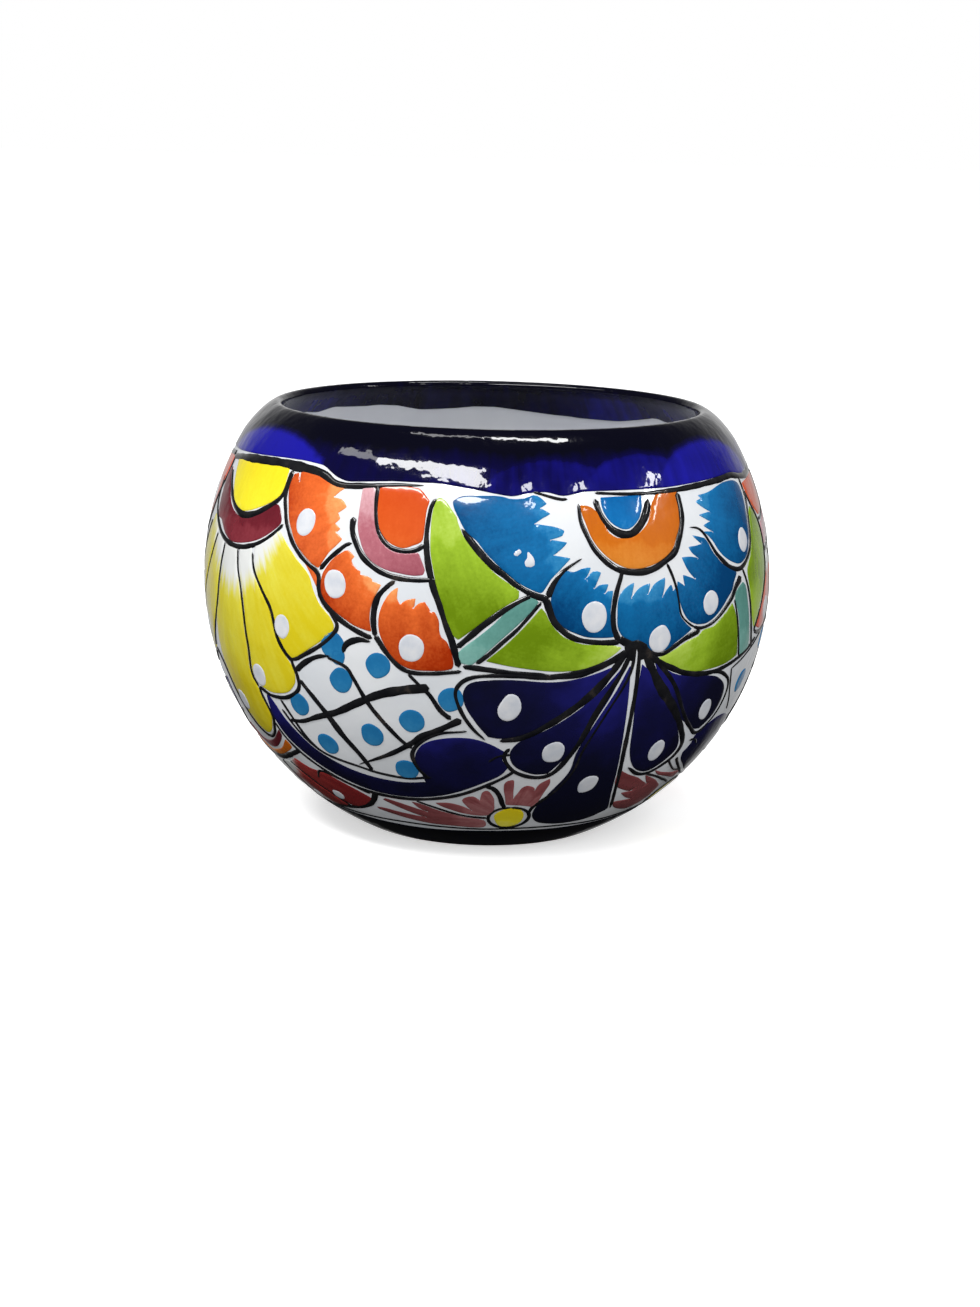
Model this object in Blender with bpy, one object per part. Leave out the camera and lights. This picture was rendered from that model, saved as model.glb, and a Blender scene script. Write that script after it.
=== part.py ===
"""A glazed earthenware ball vase: one fired clay wall and the glaze coats that lie on it.

Run with: blender --background --python part.py
Metres, +Z up. The origin is the centre of the foot, on the surface the vase stands on.

The wall is a ball cut off flat at the foot and at the mouth. Its profile is two quarter
ellipses that share the belly's radius, and every layer is the same profile, moved inwards
by its own depth below the glazed outside. At the lip the outside bends in to a narrow round
edge, which joins it to the inside of the wall.
"""

from math import asin, cos, pi, radians, sin

import bmesh
import bpy

# Driving dimensions of the glazed vase.
BELLY_RADIUS = 0.1015
BELLY_HEIGHT = 0.088
DROP_TO_FOOT = 0.099  # semi-axis of the profile below the belly
RISE_TO_LIP = 0.1005  # semi-axis of the profile above the belly
WALL = 0.006  # from the glazed outside to the glazed inside
FLOOR_TOP = 0.010  # the glazed floor inside
FLOOR_FLAT_RADIUS = 0.040
FLOOR_BEND_TOP = 0.017  # where the floor's bend meets the wall

# The lip: the outside bends in past the shoulder's corner to the round edge of the mouth.
LIP_START_HEIGHT = 0.1396  # where the outside leaves the ball's profile
LIP_CORNER = (0.0816, 0.1472)
LIP_CORNER_INWARD = (0.64, 0.77)  # how the corner moves in and down with a layer's depth
EDGE_CENTRE = (0.0759, 0.1481)
EDGE_RADIUS = 0.0016
EDGE_FROM, EDGE_TO = radians(65), radians(218)
LIP_END_HEIGHT = 0.1471  # where the inside takes up the ball's profile again

# The coats. Each is modelled as its own shell, a hair away from the clay and its neighbours.
COAT = 0.0007
GAP = 0.0003
CLAY_DEPTH = COAT + GAP

# Where one coat ends and the next begins, as heights.
FOOT_COAT_BOTTOM = 0.0022
FOOT_COAT_TOP = 0.0103
RIM_COAT_BOTTOM = 0.1325
LIP_INSIDE_BOTTOM = 0.1385

# The bare clay under the foot: a standing ring round a shallow recess.
RING_INNER_RADIUS = 0.034
RING_OUTER_RADIUS = 0.0436
RECESS_DEPTH = 0.0025
RECESS_SLOPE = 0.0012
FOOT_EDGE_TOP = 0.0012

# Fineness of the turned surfaces.
SEGMENTS = 56
WALL_STEPS = 11
BAND_STEPS = 3
EDGE_STEPS = 5
BEND_STEPS = 3

TERRACOTTA = ("fired terracotta", (0.52, 0.24, 0.13), 0.85)
TIN_WHITE = ("tin white glaze", (0.80, 0.82, 0.84), 0.12)
COBALT = ("cobalt glaze", (0.012, 0.012, 0.11), 0.10)


def semi_axis(height):
    """The profile's vertical semi-axis on this side of the belly."""
    return DROP_TO_FOOT if height < BELLY_HEIGHT else RISE_TO_LIP


def steep(height, depth):
    """The profile's own angle, from the belly, at this height in a layer that deep."""
    return asin((height - BELLY_HEIGHT) / (semi_axis(height) - depth))


def wall_point(angle, depth):
    """(radius, height) on the layer that lies this deep in the wall."""
    reach = (DROP_TO_FOOT if angle < 0 else RISE_TO_LIP) - depth
    return (BELLY_RADIUS - depth) * cos(angle), BELLY_HEIGHT + reach * sin(angle)


def wall_run(from_angle, to_angle, depth, steps):
    """Points along one layer of the wall, both ends included."""
    span = to_angle - from_angle
    return [wall_point(from_angle + span * i / steps, depth) for i in range(steps + 1)]


def bend(start, corner, end):
    """Points of a smooth bend from start to end that heads for the corner."""
    points = []
    for i in range(BEND_STEPS + 1):
        t = i / BEND_STEPS
        weights = ((1 - t) ** 2, 2 * t * (1 - t), t**2)
        radius, height = (
            sum(w * p[axis] for w, p in zip(weights, (start, corner, end)))
            for axis in range(2)
        )
        points.append((radius, height))
    return points


def lip_start():
    """The profile's angle where the outside leaves it for the lip."""
    return steep(LIP_START_HEIGHT, 0)


def lip_end():
    """The profile's angle where the inside comes back to it from the lip."""
    return steep(LIP_END_HEIGHT, WALL)


def lip_run(depth):
    """Points over the lip, from the outer layer this deep to the same layer inside."""
    reach = EDGE_RADIUS - depth
    span = EDGE_TO - EDGE_FROM
    angles = [EDGE_FROM + span * i / EDGE_STEPS for i in range(EDGE_STEPS)]
    edge = [
        (EDGE_CENTRE[0] + reach * cos(a), EDGE_CENTRE[1] + reach * sin(a)) for a in angles
    ]
    corner = tuple(c - depth * i for c, i in zip(LIP_CORNER, LIP_CORNER_INWARD))
    return bend(wall_point(lip_start(), depth), corner, edge[0])[1:] + edge[1:]


def floor_run(depth):
    """Points down the inside of the wall and over the floor to the axis.

    The depth is measured from the glazed inside, into the clay.
    """
    layer = WALL - depth
    floor = FLOOR_TOP - depth
    wall_end = steep(FLOOR_BEND_TOP, layer)
    corner = wall_point(steep(floor, layer), layer)
    bend_points = bend(wall_point(wall_end, layer), corner, (FLOOR_FLAT_RADIUS, floor))
    return bend_points + [(0.0, floor)]


def turned(name, profile, finish):
    """A solid of revolution about Z, from the (radius, height) points of its section.

    A section that starts and ends on the axis is left open there. Any other one is a ring
    and closes on itself.
    """
    mesh = bmesh.new()
    points = [mesh.verts.new((radius, 0.0, height)) for radius, height in profile]
    edges = [mesh.edges.new(pair) for pair in zip(points, points[1:])]
    if profile[0][0] > 0:
        edges.append(mesh.edges.new((points[-1], points[0])))
    bmesh.ops.spin(
        mesh,
        geom=points + edges,
        cent=(0, 0, 0),
        axis=(0, 0, 1),
        angle=2 * pi,
        steps=SEGMENTS,
        use_merge=True,
    )
    bmesh.ops.remove_doubles(mesh, verts=mesh.verts, dist=1e-6)
    bmesh.ops.dissolve_degenerate(mesh, edges=mesh.edges, dist=1e-6)
    bmesh.ops.recalc_face_normals(mesh, faces=mesh.faces)
    data = bpy.data.meshes.new(name)
    mesh.to_mesh(data)
    mesh.free()
    data.shade_smooth()
    data.set_sharp_from_angle(angle=pi / 5)
    data.materials.append(finish)
    part = bpy.data.objects.new(name, data)
    bpy.context.scene.collection.objects.link(part)
    return part


def material(name, color, roughness):
    made = bpy.data.materials.new(name)
    made.use_nodes = True
    shader = made.node_tree.nodes["Principled BSDF"]
    shader.inputs["Base Color"].default_value = (*color, 1.0)
    shader.inputs["Roughness"].default_value = roughness
    return made


def clay_body(finish):
    """The fired wall, floor, lip and foot ring."""
    depth = CLAY_DEPTH
    foot_edge = steep(FOOT_EDGE_TOP, depth)
    underside = [
        (0.0, RECESS_DEPTH),
        (RING_INNER_RADIUS - RECESS_SLOPE, RECESS_DEPTH),
        (RING_INNER_RADIUS, 0.0),
        (RING_OUTER_RADIUS, 0.0),
    ]
    outside = wall_run(foot_edge, lip_start(), depth, WALL_STEPS)
    wall_foot = steep(FLOOR_BEND_TOP, WALL - depth)
    inside = wall_run(lip_end(), wall_foot, WALL - depth, WALL_STEPS)
    section = underside + outside + lip_run(depth) + inside[:-1] + floor_run(depth)
    return turned("clay_body", section, finish)


def belly_coat(finish):
    """The white glaze on the outside, between the two blue bands."""
    low, high = FOOT_COAT_TOP + GAP, RIM_COAT_BOTTOM - GAP
    skin = wall_run(steep(low, 0), steep(high, 0), 0, WALL_STEPS)
    back = wall_run(steep(low, COAT), steep(high, COAT), COAT, WALL_STEPS)
    return turned("belly_glaze", skin + back[::-1], finish)


def rim_coat(finish):
    """The blue glaze that folds over the lip, from the shoulder to just inside the mouth."""
    layers = []
    for depth in (0, COAT):
        outside = wall_run(steep(RIM_COAT_BOTTOM, depth), lip_start(), depth, BAND_STEPS)
        under = WALL - depth
        inside = wall_run(lip_end(), steep(LIP_INSIDE_BOTTOM, under), under, BAND_STEPS)
        layers.append(outside + lip_run(depth) + inside)
    return turned("rim_glaze", layers[0] + layers[1][::-1], finish)


def lining_coat(finish):
    """The white glaze inside, from under the blue lip to the floor."""
    top = LIP_INSIDE_BOTTOM - GAP
    layers = []
    for depth in (0, COAT):
        layer = WALL - depth
        wall = wall_run(steep(top, layer), steep(FLOOR_BEND_TOP, layer), layer, WALL_STEPS)
        layers.append(wall[:-1] + floor_run(depth))
    return turned("lining_glaze", layers[0][::-1] + layers[1], finish)


def foot_coat(finish):
    """The blue band low on the outside, which stops short of the standing ring."""
    layers = [
        wall_run(steep(FOOT_COAT_BOTTOM, depth), steep(FOOT_COAT_TOP, depth), depth, BAND_STEPS)
        for depth in (0, COAT)
    ]
    return turned("foot_glaze", layers[0] + layers[1][::-1], finish)


def clear_scene():
    for found in list(bpy.data.objects):
        bpy.data.objects.remove(found)


def main():
    clear_scene()
    terracotta = material(*TERRACOTTA)
    white = material(*TIN_WHITE)
    cobalt = material(*COBALT)
    clay_body(terracotta)
    belly_coat(white)
    rim_coat(cobalt)
    lining_coat(white)
    foot_coat(cobalt)


main()
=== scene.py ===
"""A glazed earthenware ball vase, painted by hand with flowers, leaves and a fan of petals.

Every place on the pot is given as (degrees round the pot, millimetres along its profile).
Degrees run from -Y towards +X. The profile starts at the level of the foot, runs up the
outside, over the lip and down the inside to the middle of the floor.
"""

from math import asin, cos, hypot, pi, radians, sin

import bmesh
import bpy
import numpy as np
from mathutils import Matrix, Vector
from mathutils.geometry import delaunay_2d_cdt

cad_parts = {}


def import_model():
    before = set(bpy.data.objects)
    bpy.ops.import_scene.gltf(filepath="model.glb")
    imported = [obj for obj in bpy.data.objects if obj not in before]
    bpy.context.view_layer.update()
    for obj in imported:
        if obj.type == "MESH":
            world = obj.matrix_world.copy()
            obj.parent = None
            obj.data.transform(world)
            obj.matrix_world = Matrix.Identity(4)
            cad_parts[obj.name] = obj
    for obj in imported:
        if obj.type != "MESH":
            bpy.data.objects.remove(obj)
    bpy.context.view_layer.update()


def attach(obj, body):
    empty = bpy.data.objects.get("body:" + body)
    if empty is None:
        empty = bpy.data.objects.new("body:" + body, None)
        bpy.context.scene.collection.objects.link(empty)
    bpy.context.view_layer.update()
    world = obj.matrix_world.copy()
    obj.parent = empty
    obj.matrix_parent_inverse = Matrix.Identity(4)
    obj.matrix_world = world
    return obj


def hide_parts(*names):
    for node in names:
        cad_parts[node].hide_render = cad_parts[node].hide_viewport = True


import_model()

BODY = "root"
MM = 0.001

# the profile, in metres, as the CAD part has it
BELLY_RADIUS, BELLY_HEIGHT = 0.1015, 0.088
DROP_TO_FOOT, RISE_TO_LIP = 0.099, 0.1005
WALL = 0.006
LIP_START, LIP_END = 0.1396, 0.1471
LIP_CORNER, CORNER_INWARD = (0.0816, 0.1472), (0.64, 0.77)
EDGE_CENTRE, EDGE_RADIUS, EDGE_FROM, EDGE_TO = (0.0759, 0.1481), 0.0016, 65, 218
FLOOR_BEND, FLOOR_CORNER, FLOOR_RADIUS, FLOOR_TOP = 0.017, 0.008, 0.040, 0.010
RING_INNER, RING_OUTER = 0.034, 0.0436
RECESS, RECESS_SLOPE, FOOT_EDGE = 0.0025, 0.0012, 0.0012
GLAZE_FOOT = 0.0022

# heights above the white glaze, in millimetres
PAINT, LINE, DOT, BAND = 0.20, 0.32, 0.34, 0.30
SUNK = -0.06

BAND_EDGE = 0.9  # millimetres over which a band's edge rounds down
EDGE_AT = np.array([[0.12], [0.4], [1.0]])
SPREAD = 0.15  # millimetres that paint spreads past its outline
LINE_FULLNESS = 1.2
ONE_COAT = 3  # a second coat that starts this far along a stroke never comes
COLUMNS = 400
HALF_TURN = 180
TINY = 1e-3
BACKDROP_GLOW = 0.75
FAN_MIDDLE = 29


# ------------------------------------------------------------------ the skin of the pot


def wall_at(angle, depth):
    """(radius, height) in the wall at an ellipse angle, this deep under the glazed outside."""
    reach = (DROP_TO_FOOT if angle < 0 else RISE_TO_LIP) - depth
    return (BELLY_RADIUS - depth) * cos(angle), BELLY_HEIGHT + reach * sin(angle)


def angle_of(height, depth):
    """The ellipse angle of a height, this deep in the wall."""
    reach = (DROP_TO_FOOT if height < BELLY_HEIGHT else RISE_TO_LIP) - depth
    return asin((height - BELLY_HEIGHT) / reach)


def bend(a, b, c, steps):
    """Points on the curve that leaves a towards b and arrives at c."""
    share = [i / steps for i in range(1, steps + 1)]
    return [tuple((1 - s) ** 2 * a[i] + 2 * s * (1 - s) * b[i] + s * s * c[i] for i in (0, 1))
            for s in share]


def lip_run(depth, fine):
    """The lip: the outside bends in to the narrow round edge of the mouth."""
    turn = np.radians(np.linspace(EDGE_FROM, EDGE_TO, 6 * fine))[:-1]
    reach = EDGE_RADIUS - depth
    edge = [(EDGE_CENTRE[0] + reach * cos(a), EDGE_CENTRE[1] + reach * sin(a)) for a in turn]
    corner = [c - depth * i for c, i in zip(LIP_CORNER, CORNER_INWARD)]
    return bend(wall_at(angle_of(LIP_START, 0), depth), corner, edge[0], 8 * fine) + edge[1:]


def section(depth, bottom, fine):
    """The pot's outline, this deep under the glaze: up the outside, over the lip, to the floor."""
    low, high = angle_of(bottom, depth), angle_of(LIP_START, 0)
    outside = [wall_at(a, depth) for a in np.linspace(low, high, 40 * fine)]
    low, high = angle_of(FLOOR_BEND, WALL - depth), angle_of(LIP_END, WALL)
    inside = [wall_at(a, WALL - depth) for a in np.linspace(high, low, 40 * fine)]
    floor = (FLOOR_RADIUS, FLOOR_TOP - depth)
    corner = (inside[-1][0] - FLOOR_CORNER, floor[1])
    return outside + lip_run(depth, fine) + inside + bend(inside[-1], corner, floor, 16)


def measure_skin():
    """The distance along the profile in millimetres, the points there and their outward directions."""
    path = np.array(section(0.0, 0.0, 12) + [(r, FLOOR_TOP) for r in np.linspace(0.039, 0, 40)])
    run = np.concatenate([[0], np.cumsum(np.hypot(*np.diff(path, axis=0).T))]) / MM
    slope = np.gradient(path, run, axis=0)
    slope /= np.hypot(*slope.T)[:, None]
    return run, path, np.stack([slope[:, 1], -slope[:, 0]], 1)


RUN, PATH, OUTWARD = measure_skin()
RUN_END = RUN[-1]


def wobble(az, t):
    """How far the hand-made wall strays from a true circle, as a share of its radius."""
    a, h = np.radians(az), np.clip(np.asarray(t, float) / 177, 0, 1)
    stray = np.sin(2 * a + 0.7) * 0.0013 + np.sin(3 * a + 2.1 + 2 * h) * 0.0008
    return (stray + np.sin(5 * a - 1.3 + 5 * h) * 0.0005) * np.sin(pi * np.clip(h * 0.93, 0, 1))


def skin(az, t, lift=0.0):
    """Points on the glazed skin, or lifted off it by so many millimetres, in metres."""
    az, t, lift = np.broadcast_arrays(*(np.asarray(v, float) for v in (az, t, lift)))
    r, z = (np.interp(t, RUN, PATH[:, i]) for i in (0, 1))
    out_r, out_z = (np.interp(t, RUN, OUTWARD[:, i]) for i in (0, 1))
    r = r * (1 + wobble(az, t)) + lift * MM * out_r
    z = z + lift * MM * out_z
    a = np.radians(az)
    return np.stack([r * np.sin(a), -r * np.cos(a), z], -1)


def pace(t):
    """Millimetres to one degree at this place on the profile."""
    return np.interp(t, RUN, PATH[:, 0]) / MM * pi / 180


def run_at(height):
    """Where on the outside of the profile a height is."""
    top = int(PATH[:, 1].argmax())
    return np.interp(height, PATH[:top, 1], RUN[:top])


# ------------------------------------------------------------------ meshes


def add_mesh(name, points, faces, depth=None, brush=None, sharp=None):
    mesh = bpy.data.meshes.new(name)
    mesh.from_pydata([tuple(p) for p in points], [], faces)
    mesh.validate()
    for poly in mesh.polygons:
        poly.use_smooth = True
    if sharp:
        mesh.set_sharp_from_angle(angle=radians(sharp))
    if depth is not None:
        mesh.attributes.new("depth", "FLOAT", "POINT").data.foreach_set("value", np.float32(depth))
    if brush is not None:
        data = mesh.attributes.new("brush", "FLOAT_VECTOR", "POINT").data
        data.foreach_set("vector", np.float32(brush).ravel())
    obj = bpy.data.objects.new(name, mesh)
    bpy.context.scene.collection.objects.link(obj)
    return obj


def dress(obj, look, slot):
    obj.data.materials.append(look)
    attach(obj, BODY)


def grid_faces(rows, columns):
    """Faces between rings of points that close on themselves."""
    ring = [(j, (j + 1) % columns, (j + 1) % columns + columns, j + columns) for j in range(columns)]
    return [tuple(i * columns + k for k in quad) for i in range(rows - 1) for quad in ring]


def sleeve(name, low, high, rows, lift, rounded, depth):
    """A skin of glaze right round the pot, between two edges that are functions of the degrees.

    The edges named in rounded ("low", "high") run down into the glaze below."""
    az = np.arange(COLUMNS) * 360 / COLUMNS
    a, s = np.meshgrid(az, np.linspace(0, 1, rows))
    lo, hi = low(az)[None], high(az)[None]
    t = lo + (hi - lo) * s
    height = np.full_like(t, lift)
    rise = np.array([[SUNK], [lift * 0.55], [lift * 0.9], [lift]])
    if "low" in rounded:
        t[1:4] = lo + EDGE_AT * BAND_EDGE
        height[:4] = rise
    if "high" in rounded:
        t[-4:-1] = hi - EDGE_AT[::-1] * BAND_EDGE
        height[-4:] = rise[::-1]
    points = skin(a, t, height).reshape(-1, 3)
    around = np.stack([a * 1.7, t, 0 * t], -1).reshape(-1, 3)
    return add_mesh(name, points, grid_faces(rows, COLUMNS), depth(a, t).ravel(), around)


# ------------------------------------------------------------------ drawing on the pot


def through(knots, closed, step=0.9):
    """A curve through given points. A point with a third value is a sharp corner."""
    knots = list(knots)
    if closed:
        first = next((i for i, k in enumerate(knots) if len(k) > 2), None)
        if first is None:
            wrapped = [knots[-1], *knots, knots[0], knots[1]]
            return spline(np.array([k[:2] for k in wrapped], float), step)
        knots = knots[first:] + knots[: first + 1]
    corners = [i for i, k in enumerate(knots) if len(k) > 2 or i in (0, len(knots) - 1)]
    parts = []
    for i, j in zip(corners, corners[1:]):
        run = np.array([k[:2] for k in knots[i : j + 1]], float)
        ends = [2 * run[0] - run[1], *run, 2 * run[-1] - run[-2]]
        parts.append(spline(np.array(ends), step))
    points = np.concatenate(parts)
    return points if closed else np.vstack([points, knots[-1][:2]])


def spline(p, step):
    """Catmull-Rom points from p[1] up to, but not including, p[-2]."""
    out = []
    for a, b, c, d in zip(p, p[1:], p[2:], p[3:]):
        width = pace((b[1] + c[1]) / 2)
        count = max(1, int(hypot((c[0] - b[0]) * width, c[1] - b[1]) / step))
        s = np.arange(count)[:, None] / count
        out.append(0.5 * (2 * b + (c - a) * s + (2 * a - 5 * b + 4 * c - d) * s**2
                          + (3 * b - a - 3 * c + d) * s**3))
    return np.concatenate(out)


def edge_distance(points, loop):
    """How far each point is from the closed loop, and whether it is inside."""
    a, b = loop, np.roll(loop, -1, axis=0)
    ab = b - a
    ap = points[:, None] - a[None]
    share = np.clip((ap * ab).sum(-1) / np.maximum((ab**2).sum(-1), 1e-12), 0, 1)
    gap = np.hypot(*np.moveaxis(ap - share[..., None] * ab, -1, 0)).min(1)
    rise = (a[:, 1] > points[:, None, 1]) != (b[:, 1] > points[:, None, 1])
    cut = a[:, 0] + (points[:, None, 1] - a[:, 1]) * ab[:, 0] / np.where(ab[:, 1] == 0, 1e-9, ab[:, 1])
    return gap, ((rise & (points[:, None, 0] < cut)).sum(1) % 2).astype(bool)


def fill_outline(knots, lift, spacing=2.2, bevel=0.45, base=SUNK):
    """A thin raised patch inside an outline, with its rim run down into the glaze.

    Returns places (degrees, millimetres), lifts and triangles."""
    loop = through(knots, True)
    scale = np.array([pace(loop[:, 1].mean()), 1.0])
    edge = loop * scale
    along = np.roll(edge, -1, axis=0) - np.roll(edge, 1, axis=0)
    along /= np.maximum(np.hypot(*along.T), 1e-9)[:, None]
    across = np.stack([-along[:, 1], along[:, 0]], 1)
    x, y = edge.T
    if (x * np.roll(y, -1) - y * np.roll(x, -1)).sum() < 0:
        across = -across
    edge = edge - across * SPREAD
    low, high = edge.min(0), edge.max(0)
    gx, gy = np.meshgrid(*(np.arange(low[i], high[i], spacing) for i in (0, 1)))
    gx = gx + (np.arange(len(gx)) % 2)[:, None] * spacing / 2
    rows = [edge + across * bevel * k for k in (0.35, 1.0)] + [np.stack([gx.ravel(), gy.ravel()], 1)]
    inner = []
    for row, least in zip(rows, (0.3 * bevel, 0.85 * bevel, 1.5 * bevel)):
        gap, inside = edge_distance(row, edge)
        inner.append(row[inside & (gap >= least)])
    cloud = np.vstack([edge, *inner])
    n = len(edge)
    verts, _, faces, *_ = delaunay_2d_cdt(
        [Vector(p) for p in cloud], [(i, (i + 1) % n) for i in range(n)], [], 1, 1e-5)
    verts = np.array([tuple(v) for v in verts])
    gap, _ = edge_distance(verts, edge)
    share = np.clip(gap / bevel, 0, 1)
    height = base + (lift - base) * np.sqrt(share * (2 - share))
    return verts / scale, height, [tuple(f) for f in faces]


def fill_stroke(knots, width, lift, taper, rng):
    """A rounded line along a curve. taper gives how far from each end it thins out."""
    line = through(knots, False, 0.8)
    scale = np.stack([pace(line[:, 1]), np.ones(len(line))], 1)
    along = np.gradient(line, axis=0) * scale
    along /= np.maximum(np.hypot(*along.T), 1e-9)[:, None]
    run = np.concatenate([[0], np.cumsum(np.hypot(*(np.diff(line, axis=0) * scale[1:]).T))])
    width = np.interp(run / run[-1], np.linspace(0, 1, np.size(width)), np.atleast_1d(width))
    phase = rng.uniform(0, 2 * pi, 3)
    uneven = sum(np.sin(run / q + p) for q, p in zip((5.1, 2.3, 1.1), phase)) * 0.05
    reaches = ((run, taper[0]), (run[-1] - run, taper[1]))
    ends = [np.clip(d / max(reach, 0.6), 0, 1) for d, reach in reaches]
    half = width / 2 * (1 + uneven) * np.sqrt(np.maximum(ends[0] * ends[1], 0.004))
    side = np.stack([-along[:, 1], along[:, 0]], 1)
    shares = ((-1, 0), (-0.75, 0.75), (0, 1), (0.75, 0.75), (1, 0))
    places = [line + side / scale * (half * k)[:, None] for k, _ in shares]
    heights = [np.full(len(line), SUNK + (lift - SUNK) * h) for _, h in shares]
    n = len(line)
    faces = [(k * n + i, k * n + i + 1, (k + 1) * n + i + 1, (k + 1) * n + i)
             for k in range(len(shares) - 1) for i in range(n - 1)]
    return np.vstack(places), np.concatenate(heights), [f[::-1] for f in faces]


class Layer:
    """All the painted patches that share one piece and one finish."""

    made = {}

    def __init__(self):
        self.places, self.lifts, self.faces, self.depths, self.brushes = [], [], [], [], []
        self.count = 0

    @classmethod
    def of(cls, name, finish):
        return cls.made.setdefault((name, finish), cls())

    def add(self, places, lifts, faces, flow):
        depth, brush = flow(places)
        self.faces += [tuple(i + self.count for i in f) for f in faces]
        self.count += len(places)
        for into, new in ((self.places, places), (self.lifts, lifts), (self.depths, depth),
                          (self.brushes, brush)):
            into.append(new)


def radial(centre, arc, reach):
    """Paint drawn outwards from a centre: depth 0 at the arc's half sizes, 1 at reach times them."""

    def flow(p):
        x = (p[:, 0] - centre[0]) * pace(p[:, 1])
        y = p[:, 1] - centre[1]
        out = np.hypot(x / arc[0], y / arc[1])
        turn = np.degrees(np.arctan2(x, -y))
        return (out - 1) / (reach - 1), np.stack([turn * 0.5, np.hypot(x, y), 0 * x], 1)

    return flow


def straight(start, end):
    """Paint drawn from one place to another: depth 0 at the start and 1 at the end."""

    def flow(p):
        scale = pace((start[1] + end[1]) / 2)
        d = np.array([(end[0] - start[0]) * scale, end[1] - start[1]])
        length = np.hypot(*d)
        d /= length
        v = np.stack([(p[:, 0] - start[0]) * scale, p[:, 1] - start[1]], 1)
        along, across = v @ d, v @ np.array([-d[1], d[0]])
        return along / length, np.stack([across, along, 0 * along], 1)

    return flow


class Hand:
    """A painter's hand: motifs are drawn in the front's own degrees, and land on the front or
    turned half round the pot, a little unsteady."""

    def __init__(self, motif, side, seed, raise_by, unsteady):
        self.motif, self.side = motif, side
        self.turn = HALF_TURN if side == "back" else 0
        self.raise_by, self.unsteady = raise_by, unsteady
        self.rng = np.random.default_rng(seed)

    def put(self, knots):
        jitter = self.rng.normal(0, max(self.unsteady, 1e-9), (len(knots), 2))
        return [(k[0] + self.turn + j[0] * 0.6, k[1] + self.raise_by + j[1], *k[2:])
                for k, j in zip(knots, jitter)]

    def around(self, centre, ring, reach):
        """Paint that runs outwards from a centre on this side."""
        return radial(*self.put([centre]), ring, reach)

    def along(self, start, end):
        """Paint that runs between two places on this side."""
        return straight(*self.put([start, end]))

    def fill(self, part, finish, knots, flow=None, lift=PAINT):
        knots = self.put(knots)
        if flow is None:
            low = min(knots, key=lambda k: k[1])
            high = max(knots, key=lambda k: k[1])
            flow = straight(low, (low[0] + TINY, high[1] + TINY))
        name = f"{self.side}_{self.motif}_{part}"
        Layer.of(name, finish).add(*fill_outline(knots, lift), flow)

    def line(self, knots, width=1.5, taper=(0.8, 0.8)):
        drawn = fill_stroke(self.put(knots), np.array(width) * LINE_FULLNESS, LINE, taper, self.rng)
        Layer.of(f"{self.side}_outlines", "line").add(*drawn, straight((0, 0), (0, 170)))

    def dot(self, az, t, wide, tall, lean=0.0, finish="dot", part=None, lift=DOT, base=PAINT - 0.05):
        """An egg-shaped spot, its half sizes in millimetres."""
        turn = np.arange(9) * 2 * pi / 9
        size = 1 + self.rng.normal(0, 0.045, 9)
        x, y = wide * np.cos(turn) * size, tall * np.sin(turn) * size
        c, s = cos(radians(lean)), sin(radians(lean))
        width = float(pace(t))
        knots = [(az + (c * u - s * v) / width, t + s * u + c * v) for u, v in zip(x, y)]
        shape = fill_outline(self.put(knots), lift, 1.6, 0.7, base)
        name = f"{self.side}_{part or 'dots'}"
        Layer.of(name, finish).add(*shape, straight((az, t - tall), (az + TINY, t + tall)))

    def feather(self, centre, ring, start, end, count, length=7.0):
        """Brush tips along part of a ring, as corner points. Angles are degrees from straight
        down, the way the points run; ring is the half sizes of the ring that the tips reach."""
        turn = np.linspace(start, end, 2 * count + 1)
        turn[1:-1] += self.rng.normal(0, abs(end - start) / count * 0.10, 2 * count - 1)
        out = []
        for i, a in enumerate(np.radians(turn)):
            notch = length * self.rng.uniform(0.6, 1.15) if i % 2 else self.rng.uniform(-1, 1.2)
            x, y = sin(a) * (ring[0] + notch), -cos(a) * (ring[1] + notch)
            t = centre[1] + y
            out.append((centre[0] + x / float(pace(t)), t, 1))
        return out


# ------------------------------------------------------------------ the flowers


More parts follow.
